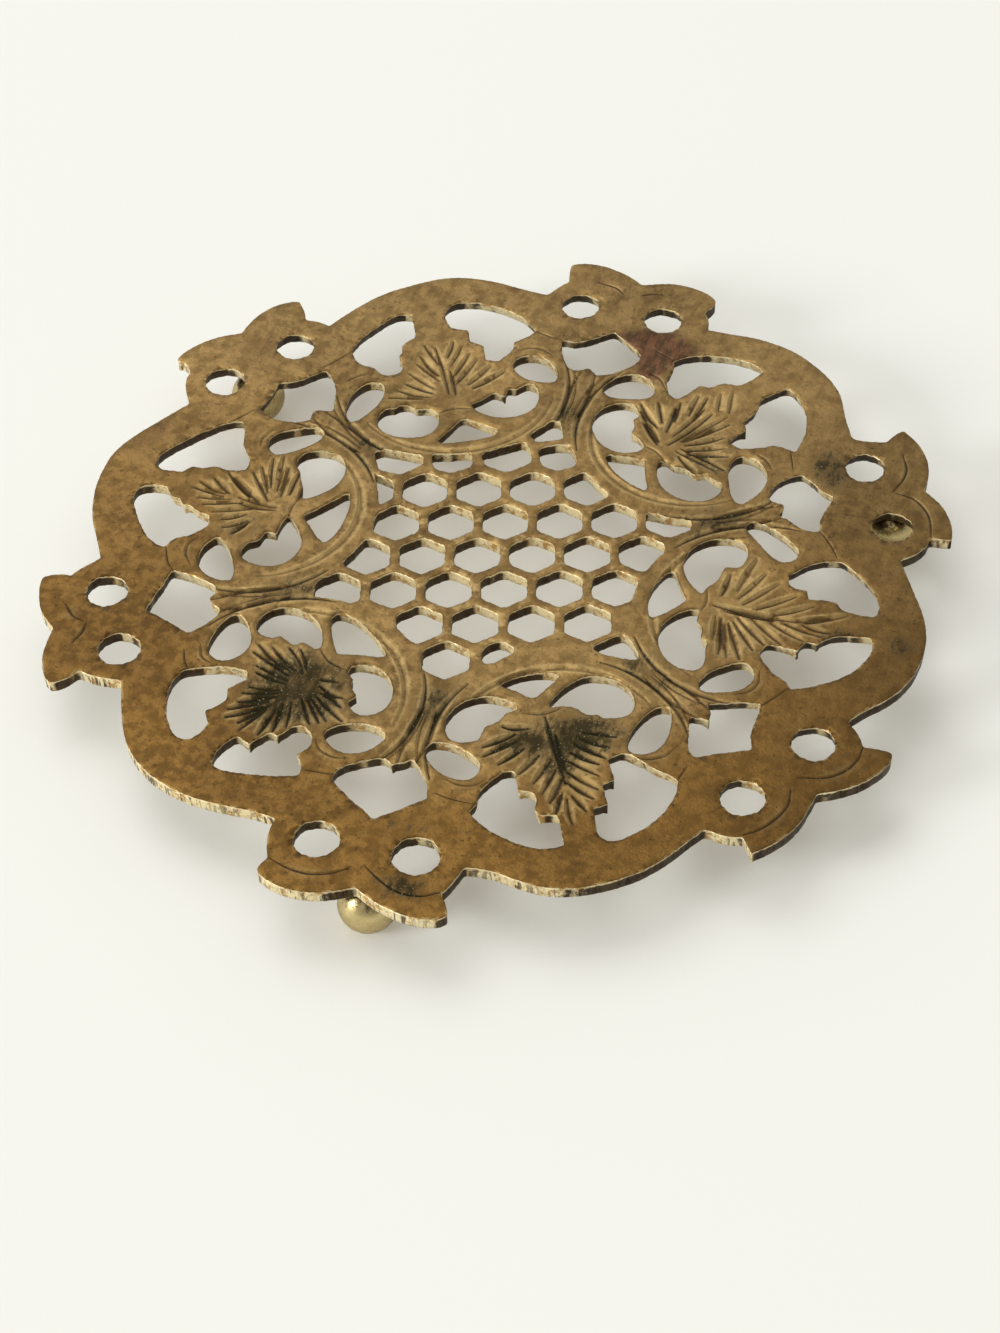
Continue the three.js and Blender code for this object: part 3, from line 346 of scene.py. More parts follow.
EAR_STEM = [[(-1.9, 58.6), (-2.4, 54), (-2, 49), (-1.5, 44)], [(1.2, 59.4), (1.8, 54), (1.9, 49), (1.5, 44)]]

# %% Strokes as samples along smooth lines
STROKE_STEP = 0.2
RING_DRIFT = 0.35


def line_through(points, step):
    """Evenly spaced points on a smooth line through the given ones: a cubic Hermite curve whose
    tangents lie along the line between each point's neighbours."""
    points = np.asarray(points, float)
    tangents = np.gradient(points, axis=0)
    t = (np.arange(CURVE_SAMPLES) / CURVE_SAMPLES)[None, :, None]
    fine = (2 * t**3 - 3 * t**2 + 1) * points[:-1, None] + (t**3 - 2 * t**2 + t) * tangents[:-1, None]
    fine = fine + (3 * t**2 - 2 * t**3) * points[1:, None] + (t**3 - t**2) * tangents[1:, None]
    fine = np.vstack([fine.reshape(-1, 2), points[-1:]])
    travelled = np.append(0, np.cumsum(np.linalg.norm(np.diff(fine, axis=0), axis=1)))
    places = np.linspace(0, travelled[-1], max(3, round(travelled[-1] / step)))
    return np.stack([np.interp(places, travelled, fine[:, axis]) for axis in (0, 1)], axis=1)


def ring_arc(radius, start, end):
    """Points on an arc round the ring's centre, every eight degrees or so, each a little off."""
    angles = np.radians(np.linspace(start, end, max(3, round(abs(end - start) / 8))))
    reach = radius + RING_DRIFT * np.sin(2 * angles + rng.uniform(0, 7))
    return RING_CENTRE + reach[:, None] * np.stack([np.cos(angles), np.sin(angles)], axis=1)


def stroke(points, angle, width, depth, dark, ends):
    """One stroke as rows of x, y, half width, depth and darkness. Its sizes grow from the ends'
    share to the full one and back, as half a sine wave."""
    line = turned(line_through(points, STROKE_STEP), angle)
    swell = ends + (1 - ends) * np.sin(np.linspace(0, math.pi, len(line)))
    return np.column_stack([line, swell * width / 2, swell * depth, np.full(len(line), dark)])


VEIN_DARKNESS = (1.0, 0.8, 0.9, 0.85, 0.9, 1.0)
VEIN_REACH = 0.16
VEIN_WIDTHS = (1.4, 1.9)
VEIN_DEPTH = 0.5
VEIN_ENDS = 0.55
RING_ENDS = 0.45
FORK = np.array([(-4.2, -0.2), (0, 0.7), (4.2, -0.2)])
# Width, depth, darkness and the ends' share of the other strokes.
SIDE_CUT = (0.9, 0.4, 0.7, 0.25)
EAR_ARC_CUT = (0.8, 0.42, 1.0, 0.5)
EAR_JOINT_CUT = (0.6, 0.3, 0.9, 0.5)
EAR_STEM_CUT = (1.3, 0.6, 0.7, 0.4)
# Radius, first and last angle, width, depth and darkness of the grooves along each ring.
RING_GROOVES = (
    (21.6, -158, -22, 1.6, 0.45, 0.5),
    (25.3, -184, -122, 1.5, 0.6, 0.8),
    (25.3, -58, 4, 1.5, 0.6, 0.8),
    (26.7, -176, -146, 0.9, 0.35, 0.6),
    (26.7, -34, -4, 0.9, 0.35, 0.6),
)

strokes = []
for index in range(6):
    leaf, ear = LEAF_ANGLES[index], EAR_ANGLES[index]
    dark = VEIN_DARKNESS[index]
    for tip_x, tip_y, base_x, base_y in LEAF_VEINS[index]:
        bow = rng.uniform(-0.4, 0.4)
        middle = ((tip_x + base_x) / 2 + bow, (tip_y + base_y) / 2 + bow * np.sign(tip_x))
        width = rng.uniform(*VEIN_WIDTHS)
        reach = VEIN_REACH * rng.uniform(0.3, 1.0)
        root = (base_x + reach * (base_x - tip_x), base_y + reach * (base_y - tip_y))
        vein = [(tip_x, tip_y), middle, root]
        shade = dark * rng.uniform(0.75, 1.0)
        strokes.append(stroke(vein, leaf, width, VEIN_DEPTH * width, shade, VEIN_ENDS))
    for arc in SIDE_ARCS[index]:
        strokes.append(stroke(arc, leaf, *SIDE_CUT))
    strokes.append(stroke(FORK + STEM_FORKS[index], leaf, *SIDE_CUT))
    for radius, start, end, width, depth, shade in RING_GROOVES:
        strokes.append(stroke(ring_arc(radius, start, end), leaf, width, depth, shade, RING_ENDS))
    for arc in EAR_ARCS[index]:
        strokes.append(stroke(arc, ear, *EAR_ARC_CUT))
    for joint in EAR_JOINTS[index]:
        strokes.append(stroke(joint, ear, *EAR_JOINT_CUT))
    for groove in EAR_STEM:
        strokes.append(stroke(groove, ear, *EAR_STEM_CUT))
stroke_samples = np.vstack(strokes)
print("strokes", len(strokes), "samples", len(stroke_samples))

# %% [markdown]
# ## The plate's height
# The top is a height over every point of the plate, worked out for all points at once. It starts
# as a plane and is only ever lowered: by a rounded edge near each outline, by the V of the nearest
# stroke, by the slight dish of the leaves and by the faint waves of a hand-filed face.

# %% Nearest samples, found square by square
def nearest(points, samples, reach):
    """Distance from each point to its nearest sample, no more than reach, and that sample's
    number. Each square of the plane only looks at the samples in and around it."""
    distance = np.full(len(points), float(reach))
    number = np.zeros(len(points), int)
    squares = np.floor(points / reach).astype(int)
    for square in np.unique(squares, axis=0):
        here = np.flatnonzero((squares == square).all(axis=1))
        close = np.abs(samples - (square + 0.5) * reach) < 1.5 * reach
        near = np.flatnonzero(close.all(axis=1))
        if len(near):
            apart = np.linalg.norm(points[here, None] - samples[None, near], axis=2)
            best = apart.argmin(axis=1)
            distance[here] = np.minimum(apart[np.arange(len(here)), best], reach)
            number[here] = near[best]
    return distance, number


def waves(points, length, seed, count=7):
    """A smooth random field from 0 to 1: the mean of plane waves in random directions."""
    draw = np.random.default_rng(seed)
    angles = draw.uniform(0, 2 * math.pi, count)
    lengths = length * draw.uniform(0.6, 1.6, count)
    steps = 2 * math.pi * np.stack([np.cos(angles), np.sin(angles)]) / lengths
    return 0.5 + 0.5 * np.mean(np.sin(points @ steps + draw.uniform(0, 7, count)), axis=1)


# %% Samples of the outlines, each with the radius of its filed edge
EDGE_SAMPLE_STEP = 0.15

loop_radii = [KINDS[kind][0] for kind in kinds]
edge_samples = [smooth_loop(loop, EDGE_SAMPLE_STEP) for loop in loops]
edge_radii = np.concatenate([np.full(len(s), r) for s, r in zip(edge_samples, loop_radii)])
edge_samples = np.vstack(edge_samples)
print("samples along the edges", len(edge_samples))


# %% The height of the top
EDGE_REACH = 4.0
EDGE_BAND = 1.6
EDGE_FALL = 0.75
LEAF_DISH = 0.45
BOWL_CENTRE = (0, 52)
BOWL_RADIUS = 15
FILED_WAVES = 0.1
FILED_LENGTH = 22
STROKE_REACH = 2.0
BANK_AWAY = 0.1
BANK_WIDTH = 0.3
THIN_HALF = 0.3
THIN_FADE = 0.35


def leaf_dish(points):
    """How deep the leaves are dished: a smooth bowl round a point low on each leaf."""
    bowls = [turned([BOWL_CENTRE], angle) for angle in LEAF_ANGLES]
    apart = np.min([np.linalg.norm(points - centre, axis=1) for centre in bowls], axis=0)
    return LEAF_DISH * np.clip(1 - (apart / BOWL_RADIUS) ** 2, 0, 1) ** 1.5


def relief(points):
    """Height of the top in millimetres, and three masks: how deep in a stroke a point lies, how
    near an edge, and how near the crest beside a wide stroke. An edge falls as a circle's arc, a
    stroke as a V."""
    apart, sample = nearest(points, edge_samples, EDGE_REACH)
    radius = edge_radii[sample]
    gap = np.clip(1 - apart / radius, 0, 1)
    edge_drop = EDGE_FALL * radius * (1 - np.sqrt(1 - gap**2))
    off, cut = nearest(points, stroke_samples[:, :2], STROKE_REACH)
    half = stroke_samples[cut, 2]
    share = np.clip(1 - off / half, 0, 1)
    stroke_drop = stroke_samples[cut, 3] * share
    shade = stroke_samples[cut, 4] * share
    bank = np.clip(1 - np.abs(off - half - BANK_AWAY) / BANK_WIDTH, 0, 1)
    bank = bank * np.clip((half - THIN_HALF) / THIN_FADE, 0, 1)
    drop = edge_drop + stroke_drop + leaf_dish(points) + FILED_WAVES * waves(points, FILED_LENGTH, 5)
    nearness = np.clip(1 - apart / EDGE_BAND, 0, 1)
    return TOP - drop, shade, nearness, bank


# %% [markdown]
# ## The plate's mesh
# A constrained triangulation joins scattered points into triangles and keeps given edges. Points
# lie on the outlines, on two lines just inside them for the rounded edge, along and beside every
# stroke, and on a jittered grid that is fine where the plate is chased and coarse elsewhere.

# %% Points of the top
INSETS = (0.3, 1.0)
STROKE_POINT_STEP = 3
BANK_MARGIN = 0.15
FINE_STEP = 0.62
COARSE_STEP = 1.5
RING_ZONE = 27.0
PLACED_TO_EDGE = 0.12
SPREAD_TO_EDGE = 0.45
SPREAD_TO_PLACED = 0.4


def inset_points():
    """Points inside each outline at set shares of its edge radius, kept where no other outline
    is nearer."""
    found = []
    for loop, radius in zip(loops, loop_radii):
        for share in INSETS:
            moved = loop + metal_side(loop) * radius * share
            apart, _ = nearest(moved, edge_samples, EDGE_REACH)
            found.append(moved[apart > 0.85 * radius * share])
    return np.vstack(found)


def stroke_points():
    """Points along the middle and both banks of each stroke, and just outside the banks, where
    the face is flat again."""
    found = []
    for rows in strokes:
        rows = rows[::STROKE_POINT_STEP]
        side = left_of(unit(np.gradient(rows[:, :2], axis=0)))
        for bank in (-1, 0, 1):
            found.append(rows[:, :2] + bank * side * rows[:, 2:3])
        for bank in (-1, 1):
            found.append(rows[:, :2] + bank * side * (rows[:, 2:3] + BANK_MARGIN))
    return np.vstack(found)


def grid_points(step, low, high):
    """A grid with each point moved by up to a quarter step."""
    xs, ys = np.meshgrid(np.arange(low[0], high[0], step), np.arange(low[1], high[1], step))
    grid = np.stack([xs.ravel(), ys.ravel()], axis=1)
    return grid + rng.uniform(-step / 4, step / 4, grid.shape)


def in_ring_zone(points):
    """Whether each point lies in the chased part of the plate, in or near a leaf's ring."""
    centres = [turned([RING_CENTRE], angle) for angle in LEAF_ANGLES]
    return np.min([np.linalg.norm(points - c, axis=1) for c in centres], axis=0) < RING_ZONE


def inside(points, outlines):
    """Whether each point lies inside the outlines: a line from it to the right crosses them an
    odd number of times. Worked out strip by strip, with only the edges that reach the strip."""
    starts = np.vstack(outlines)
    ends = np.vstack([np.roll(loop, -1, axis=0) for loop in outlines])
    low, high = np.minimum(starts[:, 1], ends[:, 1]), np.maximum(starts[:, 1], ends[:, 1])
    found = np.zeros(len(points), bool)
    strips = np.floor(points[:, 1]).astype(int)
    for strip in np.unique(strips):
        here = np.flatnonzero(strips == strip)
        near = np.flatnonzero((high >= strip) & (low <= strip + 1))
        y = points[here, 1][:, None]
        (x1, y1), (x2, y2) = starts[near].T, ends[near].T
        crosses = (y1[None] > y) != (y2[None] > y)
        slope = (x2 - x1) / np.where(y2 == y1, 1e-9, y2 - y1)
        right = points[here, 0][:, None] < x1[None] + (y - y1[None]) * slope[None]
        found[here] = np.sum(crosses & right, axis=1) % 2 == 1
    return found


placed = np.vstack([inset_points(), stroke_points()])
apart, _ = nearest(placed, outline, EDGE_REACH)
placed = placed[inside(placed, loops) & (apart > PLACED_TO_EDGE)]
fine = grid_points(FINE_STEP, plate_low, plate_high)
fine = fine[in_ring_zone(fine)]
coarse = grid_points(COARSE_STEP, plate_low, plate_high)
coarse = coarse[~in_ring_zone(coarse)]
spread = np.vstack([fine, coarse])
spread = spread[inside(spread, loops)]
apart, _ = nearest(spread, outline, EDGE_REACH)
spread = spread[apart > SPREAD_TO_EDGE]
apart, _ = nearest(spread, placed, 1.0)
spread = spread[apart > SPREAD_TO_PLACED]
print("placed points", len(placed), "spread points", len(spread))


# %% Triangles of the top and of the underside
loop_sizes = [len(loop) for loop in loops]
loop_starts = np.cumsum([0] + loop_sizes[:-1])
following = np.concatenate(
    [first + np.roll(np.arange(size), -1) for first, size in zip(loop_starts, loop_sizes)]
)


def outline_edges():
    """The edges along every loop, as pairs of point numbers."""
    return np.stack([np.arange(len(outline)), following], axis=1)


def triangulated(points, outlines):
    """Triangles over the metal inside the outlines, whose points come first in points. Gives
    the points back in the triangulation's own order, and each outline point's number."""
    made = geometry.delaunay_2d_cdt(
        [Vector(point) for point in points], outline_edges().tolist(), [], 0, 1e-6
    )
    places, faces, origins = np.array([tuple(p) for p in made[0]]), np.array(made[2]), made[3]
    number = np.empty(len(points), int)
    for new, olds in enumerate(origins):
        number[olds] = new
    faces = faces[inside(places[faces].mean(axis=1), outlines)]
    return places, faces, number[: len(outline)]


top_xy, top_faces, top_rim = triangulated(np.vstack([outline, placed, spread]), loops)
print("top", len(top_xy), "points", len(top_faces), "triangles")

# %% [markdown]
# ## Sawn walls
# A piercing saw leaves upright scratches. The wall under each outline is a grid: along the
# outline one way and down the wall the other. Each column is cut back by its own small amount.
# The openings near the rim were filed from behind, so their walls also lean in under the plate,
# most on the far right side, as far as the metal between two openings leaves room.

# %% How far each wall leans in
WALL_ROWS = (0.25, 0.6, 0.93)
SAW_DEPTH = 0.09
UNDER_CHAMFER = 0.2
LEAN_TRIALS = (0.3, 0.6, 0.9, 1.2, 1.5, 1.8)
LEAN_FROM, LEAN_TO = -60.0, 20.0
FAR_WAY = np.array([0.5, 1.0])
LEAN_SHARE = 0.5
CLEAR_SHARE = 0.93
TRIAL_GAP = 0.35
SHORTENINGS = 10
SHORTENED = 0.7
LEAST_ADVANCE = 0.2
LEAST_APART = 0.96

top_z, top_cut, top_edge, top_crest = relief(top_xy)
inwards = np.vstack([metal_side(loop) for loop in loops])


def over_loops(values):
    """A value for each loop, repeated for each of its outline points."""
    return np.repeat(values, loop_sizes)


def evened(values, times):
    """Values along the outlines, each drawn towards its two neighbours."""
    parts = np.split(values, np.cumsum(loop_sizes)[:-1])
    for _ in range(times):
        parts = [(np.roll(part, 1) + part + np.roll(part, -1)) / 3 for part in parts]
    return np.concatenate(parts)


def room_to_lean():
    """The farthest trial distance at which a point moved in from the outline is still nearer to
    its own outline than to any other."""
    room = np.zeros(len(outline))
    for trial in LEAN_TRIALS:
        apart, _ = nearest(outline + inwards * trial, edge_samples, EDGE_REACH)
        room = np.where((apart > CLEAR_SHARE * trial) & (room > trial - TRIAL_GAP), trial, room)
    return evened(room, 3)


def untangled(shift):
    """Shifts into the metal, shortened where the moved outline would fold over itself or come
    close to another outline."""
    step = outline[following] - outline
    for _ in range(SHORTENINGS):
        moved = outline + inwards * shift[:, None]
        advance = np.sum(step * (moved[following] - moved), axis=1)
        apart, _ = nearest(moved, edge_samples, EDGE_REACH)
        folded = advance < LEAST_ADVANCE * np.sum(step**2, axis=1)
        tangled = folded | (apart < LEAST_APART * shift)
        tangled[following] |= tangled.copy()
        shift = np.where(tangled, SHORTENED * shift, shift)
    return shift


far = outline @ FAR_WAY
far_side = np.clip((far - LEAN_FROM) / (LEAN_TO - LEAN_FROM), 0.25, 1)
wanted = over_loops([KINDS[kind][2] for kind in kinds]) * far_side
uneven_lean = wanted * (0.6 + 0.8 * waves(outline, 6, 11))
lean = np.minimum(uneven_lean, LEAN_SHARE * room_to_lean())
shift = untangled(evened(lean, 3) + UNDER_CHAMFER)
lean = np.maximum(shift - UNDER_CHAMFER, 0)
print("walls lean in by up to", lean.max().round(2), "mm, on average", lean.mean().round(2))

# %% Rows of the walls and the underside
column_cut = SAW_DEPTH * rng.random(len(outline)) ** 2
rim_z = top_z[top_rim]
rows_xy, rows_z = [], []
for share in WALL_ROWS:
    wear = column_cut * rng.uniform(0.4, 1.0, len(outline))
    rows_xy.append(outline + inwards * (wear + lean * share)[:, None])
    rows_z.append(rim_z + (UNDER + UNDER_CHAMFER / 2 - rim_z) * share)
foot_outline = outline + inwards * shift[:, None]
foot_loops = np.split(foot_outline, np.cumsum(loop_sizes)[:-1])
under_inset, under_faces, under_rim = triangulated(foot_outline, foot_loops)
print("underside points", len(foot_outline), "given,", len(under_inset), "used")


# %% One closed mesh
def mesh_object(name, places, faces, groups, materials):
    """A mesh object from places in millimetres, faces as rows of numbers, and each face's
    material number."""
    mesh = bpy.data.meshes.new(name)
    mesh.from_pydata(places * MM, [], [tuple(face) for face in faces])
    for material in materials:
        mesh.materials.append(material)
    mesh.polygons.foreach_set("material_index", groups)
    mesh.polygons.foreach_set("use_smooth", np.ones(len(mesh.polygons), bool))
    mesh.validate()
    made = bpy.data.objects.new(name, mesh)
    bpy.context.scene.collection.objects.link(made)
    return made


def wall_quads(upper, lower):
    """Faces between two rows of the wall, facing away from the metal."""
    return np.stack([upper, lower, lower[following], upper[following]], axis=1)


top_count, under_count, rim_count = len(top_xy), len(under_inset), len(outline)
wall_numbers = [
    top_count + under_count + row * rim_count + np.arange(rim_count) for row in range(len(WALL_ROWS))
]
places = np.vstack(
    [np.column_stack([top_xy, top_z])]
    + [np.column_stack([under_inset, np.full(under_count, UNDER)])]
    + [np.column_stack([xy, z]) for xy, z in zip(rows_xy, rows_z)]
)
levels = [top_rim, *wall_numbers, top_count + under_rim]
walls = np.vstack([wall_quads(upper, lower) for upper, lower in zip(levels[:-1], levels[1:])])
faces = top_faces.tolist() + (top_count + under_faces[:, ::-1]).tolist() + walls.tolist()
face_groups = np.repeat([0, 2, 1], [len(top_faces), len(under_faces), len(walls)]).astype(np.int32)
print("plate", len(places), "points", len(top_faces) + len(under_faces) + 2 * len(walls), "triangles")

# %% [markdown]
# ## Patina
# The same brass has three finishes here. The top is waxed over years of dark patina, the walls
# show the saw's bright scratches where they were never polished, and the balls were turned on a
# lathe and are still satin. Small shader helpers keep the recipes short, and the effects that
# all of them share are node groups.

# %% Shader helpers
def colour(red, green, blue):
    """A colour as a screen shows it, 0 to 255, turned into the linear values of a shader."""
    screen = np.array([red, green, blue]) / 255
    linear = np.where(screen <= 0.04045, screen / 12.92, ((screen + 0.055) / 1.055) ** 2.4)
    return (*linear, 1.0)


def node(tree, kind, options=None, **inputs):
    """A shader node with its options set and its inputs given a value or linked to an output."""
    made = tree.nodes.new(kind)
    for name, value in (options or {}).items():
        setattr(made, name, value)
    for name, value in inputs.items():
        plug(tree, made.inputs[name.replace("_", " ")], value)
    return made


def plug(tree, socket, value):
    if isinstance(value, bpy.types.NodeSocket):
        tree.links.new(value, socket)
    else:
        socket.default_value = value


def blend(tree, factor, first, second, how="MIX"):
    """The colour between two colours."""
    mix = tree.nodes.new("ShaderNodeMix")
    mix.data_type = "RGBA"
    mix.blend_type = how
    plug(tree, mix.inputs[0], factor)
    plug(tree, mix.inputs[6], first)
    plug(tree, mix.inputs[7], second)
    return mix.outputs[2]


def sums(tree, operation, first, second=0.0):
    made = tree.nodes.new("ShaderNodeMath")
    made.operation = operation
    plug(tree, made.inputs[0], first)
    plug(tree, made.inputs[1], second)
    return made.outputs[0]


def spread_over(tree, value, low, high, to_low=0.0, to_high=1.0):
    """A value stretched from one range to another, with soft ends."""
    made = node(tree, "ShaderNodeMapRange", {"interpolation_type": "SMOOTHSTEP"}, Value=value)
    ends = {"From Min": low, "From Max": high, "To Min": to_low, "To Max": to_high}
    for name, number in ends.items():
        made.inputs[name].default_value = number
    return made.outputs["Result"]


def noise(tree, where, scale, detail=3.0, roughness=0.55):
    made = node(tree, "ShaderNodeTexNoise", Vector=where, Scale=scale, Detail=detail)
    made.inputs["Roughness"].default_value = roughness
    return made.outputs["Fac"]


def painted(tree, name):
    """A mask that was worked out for the mesh and stored on its points."""
    return node(tree, "ShaderNodeAttribute", {"attribute_name": name}).outputs["Fac"]


def new_group(name, inputs, outputs):
    """An empty shader node group with named sockets. Gives the tree, its inputs and outputs."""
    tree = bpy.data.node_groups.new(name, "ShaderNodeTree")
    for label, kind in inputs:
        tree.interface.new_socket(label, in_out="INPUT", socket_type=kind)
    for label, kind in outputs:
        tree.interface.new_socket(label, in_out="OUTPUT", socket_type=kind)
    start = tree.nodes.new("NodeGroupInput")
    end = tree.nodes.new("NodeGroupOutput")
    return tree, start.outputs, end.inputs


def use_group(tree, group, **inputs):
    made = tree.nodes.new("ShaderNodeGroup")
    made.node_tree = group
    for name, value in inputs.items():
        plug(tree, made.inputs[name.replace("_", " ")], value)
    return made.outputs


# %% Shared effects: mottled patina and fine grain
def mottle_group():
    """Clouds of patina. Broad changes slowly, Fine is the mottling over it, Scuffs are short
    rubbed marks, Specks are dark pits and Glints are small bright specks for painted glints."""
    names = ("Broad", "Fine", "Scuffs", "Specks", "Glints")
    sockets = [(name, "NodeSocketFloat") for name in names]
    tree, given, wanted = new_group("patina_mottle", [("Place", "NodeSocketVector")], sockets)
    broad = noise(tree, given["Place"], 45.0, 4.0, 0.62)
    fine = noise(tree, given["Place"], 280.0, 6.0, 0.7)
    stretched = node(tree, "ShaderNodeMapping", Vector=given["Place"], Scale=(1.0, 0.35, 1.0))
    scuffs = noise(tree, stretched.outputs["Vector"], 620.0, 4.0, 0.7)
    pits = noise(tree, given["Place"], 1100.0, 2.0, 0.5)
    grains = noise(tree, given["Place"], 2300.0, 1.0, 0.5)
    tree.links.new(spread_over(tree, broad, 0.3, 0.7), wanted["Broad"])
    tree.links.new(spread_over(tree, fine, 0.4, 0.6), wanted["Fine"])
    tree.links.new(spread_over(tree, scuffs, 0.4, 0.62), wanted["Scuffs"])
    tree.links.new(spread_over(tree, pits, 0.63, 0.74), wanted["Specks"])
    tree.links.new(spread_over(tree, grains, 0.66, 0.74), wanted["Glints"])
    return tree


def grain_group():
    """Height of the fine pits and rubbing marks that break up a reflection."""
    tree, given, wanted = new_group(
        "brass_grain", [("Place", "NodeSocketVector")], [("Height", "NodeSocketFloat")]
    )
    coarse = noise(tree, given["Place"], 500.0, 5.0, 0.68)
    fine = noise(tree, given["Place"], 2200.0, 2.0, 0.5)
    both = sums(tree, "ADD", coarse, sums(tree, "MULTIPLY", fine, 0.35))
    tree.links.new(both, wanted["Height"])
    return tree


MOTTLE = mottle_group()
GRAIN = grain_group()
print("node groups", [group.name for group in bpy.data.node_groups])

# %% The patinated top
OCHRE_DARK = colour(88, 63, 24)
OCHRE_LIGHT = colour(124, 91, 39)
TAN_DARK = colour(96, 74, 39)
TAN_LIGHT = colour(156, 127, 77)
RIGHT_DARK = colour(72, 50, 14)
STROKE_DARK = colour(42, 30, 12)
GRIME = colour(36, 33, 14)
# Colour of the painted glints in the grime.
GRIME_GLINT = colour(176, 166, 128)
COPPER_DARK = colour(58, 36, 24)
COPPER = colour(104, 66, 46)
WORN_GOLD = colour(206, 180, 122)


def metal_material(name):
    material = bpy.data.materials.new(name)
    material.use_nodes = True
    tree = material.node_tree
    shader = tree.nodes["Principled BSDF"]
    place = tree.nodes.new("ShaderNodeTexCoord").outputs["Object"]
    return material, tree, shader, place


def bumped(tree, shader, height, distance, strength):
    bump = node(tree, "ShaderNodeBump", Height=height, Distance=distance, Strength=strength)
    tree.links.new(bump.outputs["Normal"], shader.inputs["Normal"])


def times(tree, value, factor):
    return sums(tree, "MULTIPLY", value, factor)


def clouds_over(tree, mottle, dark, light):
    """Three sizes of mottling between a dark and a light skin."""
    broad, fine = times(tree, mottle["Broad"], 0.45), times(tree, mottle["Fine"], 0.3)
    clouds = sums(tree, "ADD", sums(tree, "ADD", broad, fine), times(tree, mottle["Scuffs"], 0.25))
    return blend(tree, clouds, dark, light)


def patinated_brass():
    material, tree, shader, place = metal_material("patinated_brass")
    mottle = use_group(tree, MOTTLE, Place=place)
    sides = node(tree, "ShaderNodeSeparateXYZ", Vector=place).outputs
    away = sides["Y"]
    length = node(tree, "ShaderNodeVectorMath", {"operation": "LENGTH"}, Vector=place)
    handled = spread_over(tree, length.outputs["Value"], 0.074, 0.05)
    # Paler towards the back as a painted sheen, and paler in the inner zone as the metal's own tone.
    back_sheen_and_inner_tone = sums(tree, "MAXIMUM", spread_over(tree, away, -0.05, 0.07), times(tree, handled, 0.85))
    dark = blend(tree, back_sheen_and_inner_tone, OCHRE_DARK, TAN_DARK)
    skin = clouds_over(tree, mottle, dark, blend(tree, back_sheen_and_inner_tone, OCHRE_LIGHT, TAN_LIGHT))
    skin = blend(tree, spread_over(tree, sides["X"], 0.045, 0.085, 0.0, 0.4), skin, RIGHT_DARK)
    skin = blend(tree, times(tree, mottle["Specks"], 0.55), skin, STROKE_DARK)
    copper = sums(tree, "ADD", painted(tree, "copper"), times(tree, mottle["Fine"], 0.3))
    stain = blend(tree, mottle["Scuffs"], COPPER_DARK, COPPER)
    skin = blend(tree, spread_over(tree, copper, 0.3, 0.8, 0.0, 0.85), skin, stain)
    cut = spread_over(tree, painted(tree, "cut"), 0.2, 0.85, 0.0, 0.88)
    skin = blend(tree, times(tree, painted(tree, "crest"), 0.4), skin, WORN_GOLD)
    skin = blend(tree, cut, skin, STROKE_DARK)
    grit = sums(tree, "ADD", painted(tree, "grime"), times(tree, mottle["Fine"], 0.3))
    grit = sums(tree, "ADD", grit, times(tree, mottle["Scuffs"], 0.3))
    grimy = spread_over(tree, sums(tree, "ADD", grit, times(tree, cut, 0.4)), 0.45, 1.15)
    # The grime is dotted with small bright specks, painted glints.
    dirt_and_painted_light = blend(tree, times(tree, mottle["Glints"], 0.6), GRIME, GRIME_GLINT)
    skin = blend(tree, times(tree, grimy, 0.92), skin, dirt_and_painted_light)
    rub = sums(tree, "ADD", painted(tree, "edge"), times(tree, mottle["Fine"], 0.4))
    worn = spread_over(tree, rub, 1.08, 1.38, 0.0, 0.38)
    skin = blend(tree, worn, skin, WORN_GOLD)
    tree.links.new(skin, shader.inputs["Base Color"])
    tree.links.new(spread_over(tree, grimy, 0, 1, 0.82, 0.25), shader.inputs["Metallic"])
    tree.links.new(spread_over(tree, grimy, 0, 1, 0.5, 0.1), shader.inputs["Specular IOR Level"])
    rough = spread_over(tree, mottle["Fine"], 0, 1, 0.54, 0.36)
    tree.links.new(sums(tree, "ADD", rough, times(tree, grimy, 0.2)), shader.inputs["Roughness"])
    grain = use_group(tree, GRAIN, Place=place)["Height"]
    bumped(tree, shader, grain, 0.0003, 0.4)
    return material


# %% The sawn walls
WALL_GOLD = colour(255, 236, 184)
WALL_TAN = colour(192, 148, 80)
WALL_BLACK = colour(50, 31, 11)


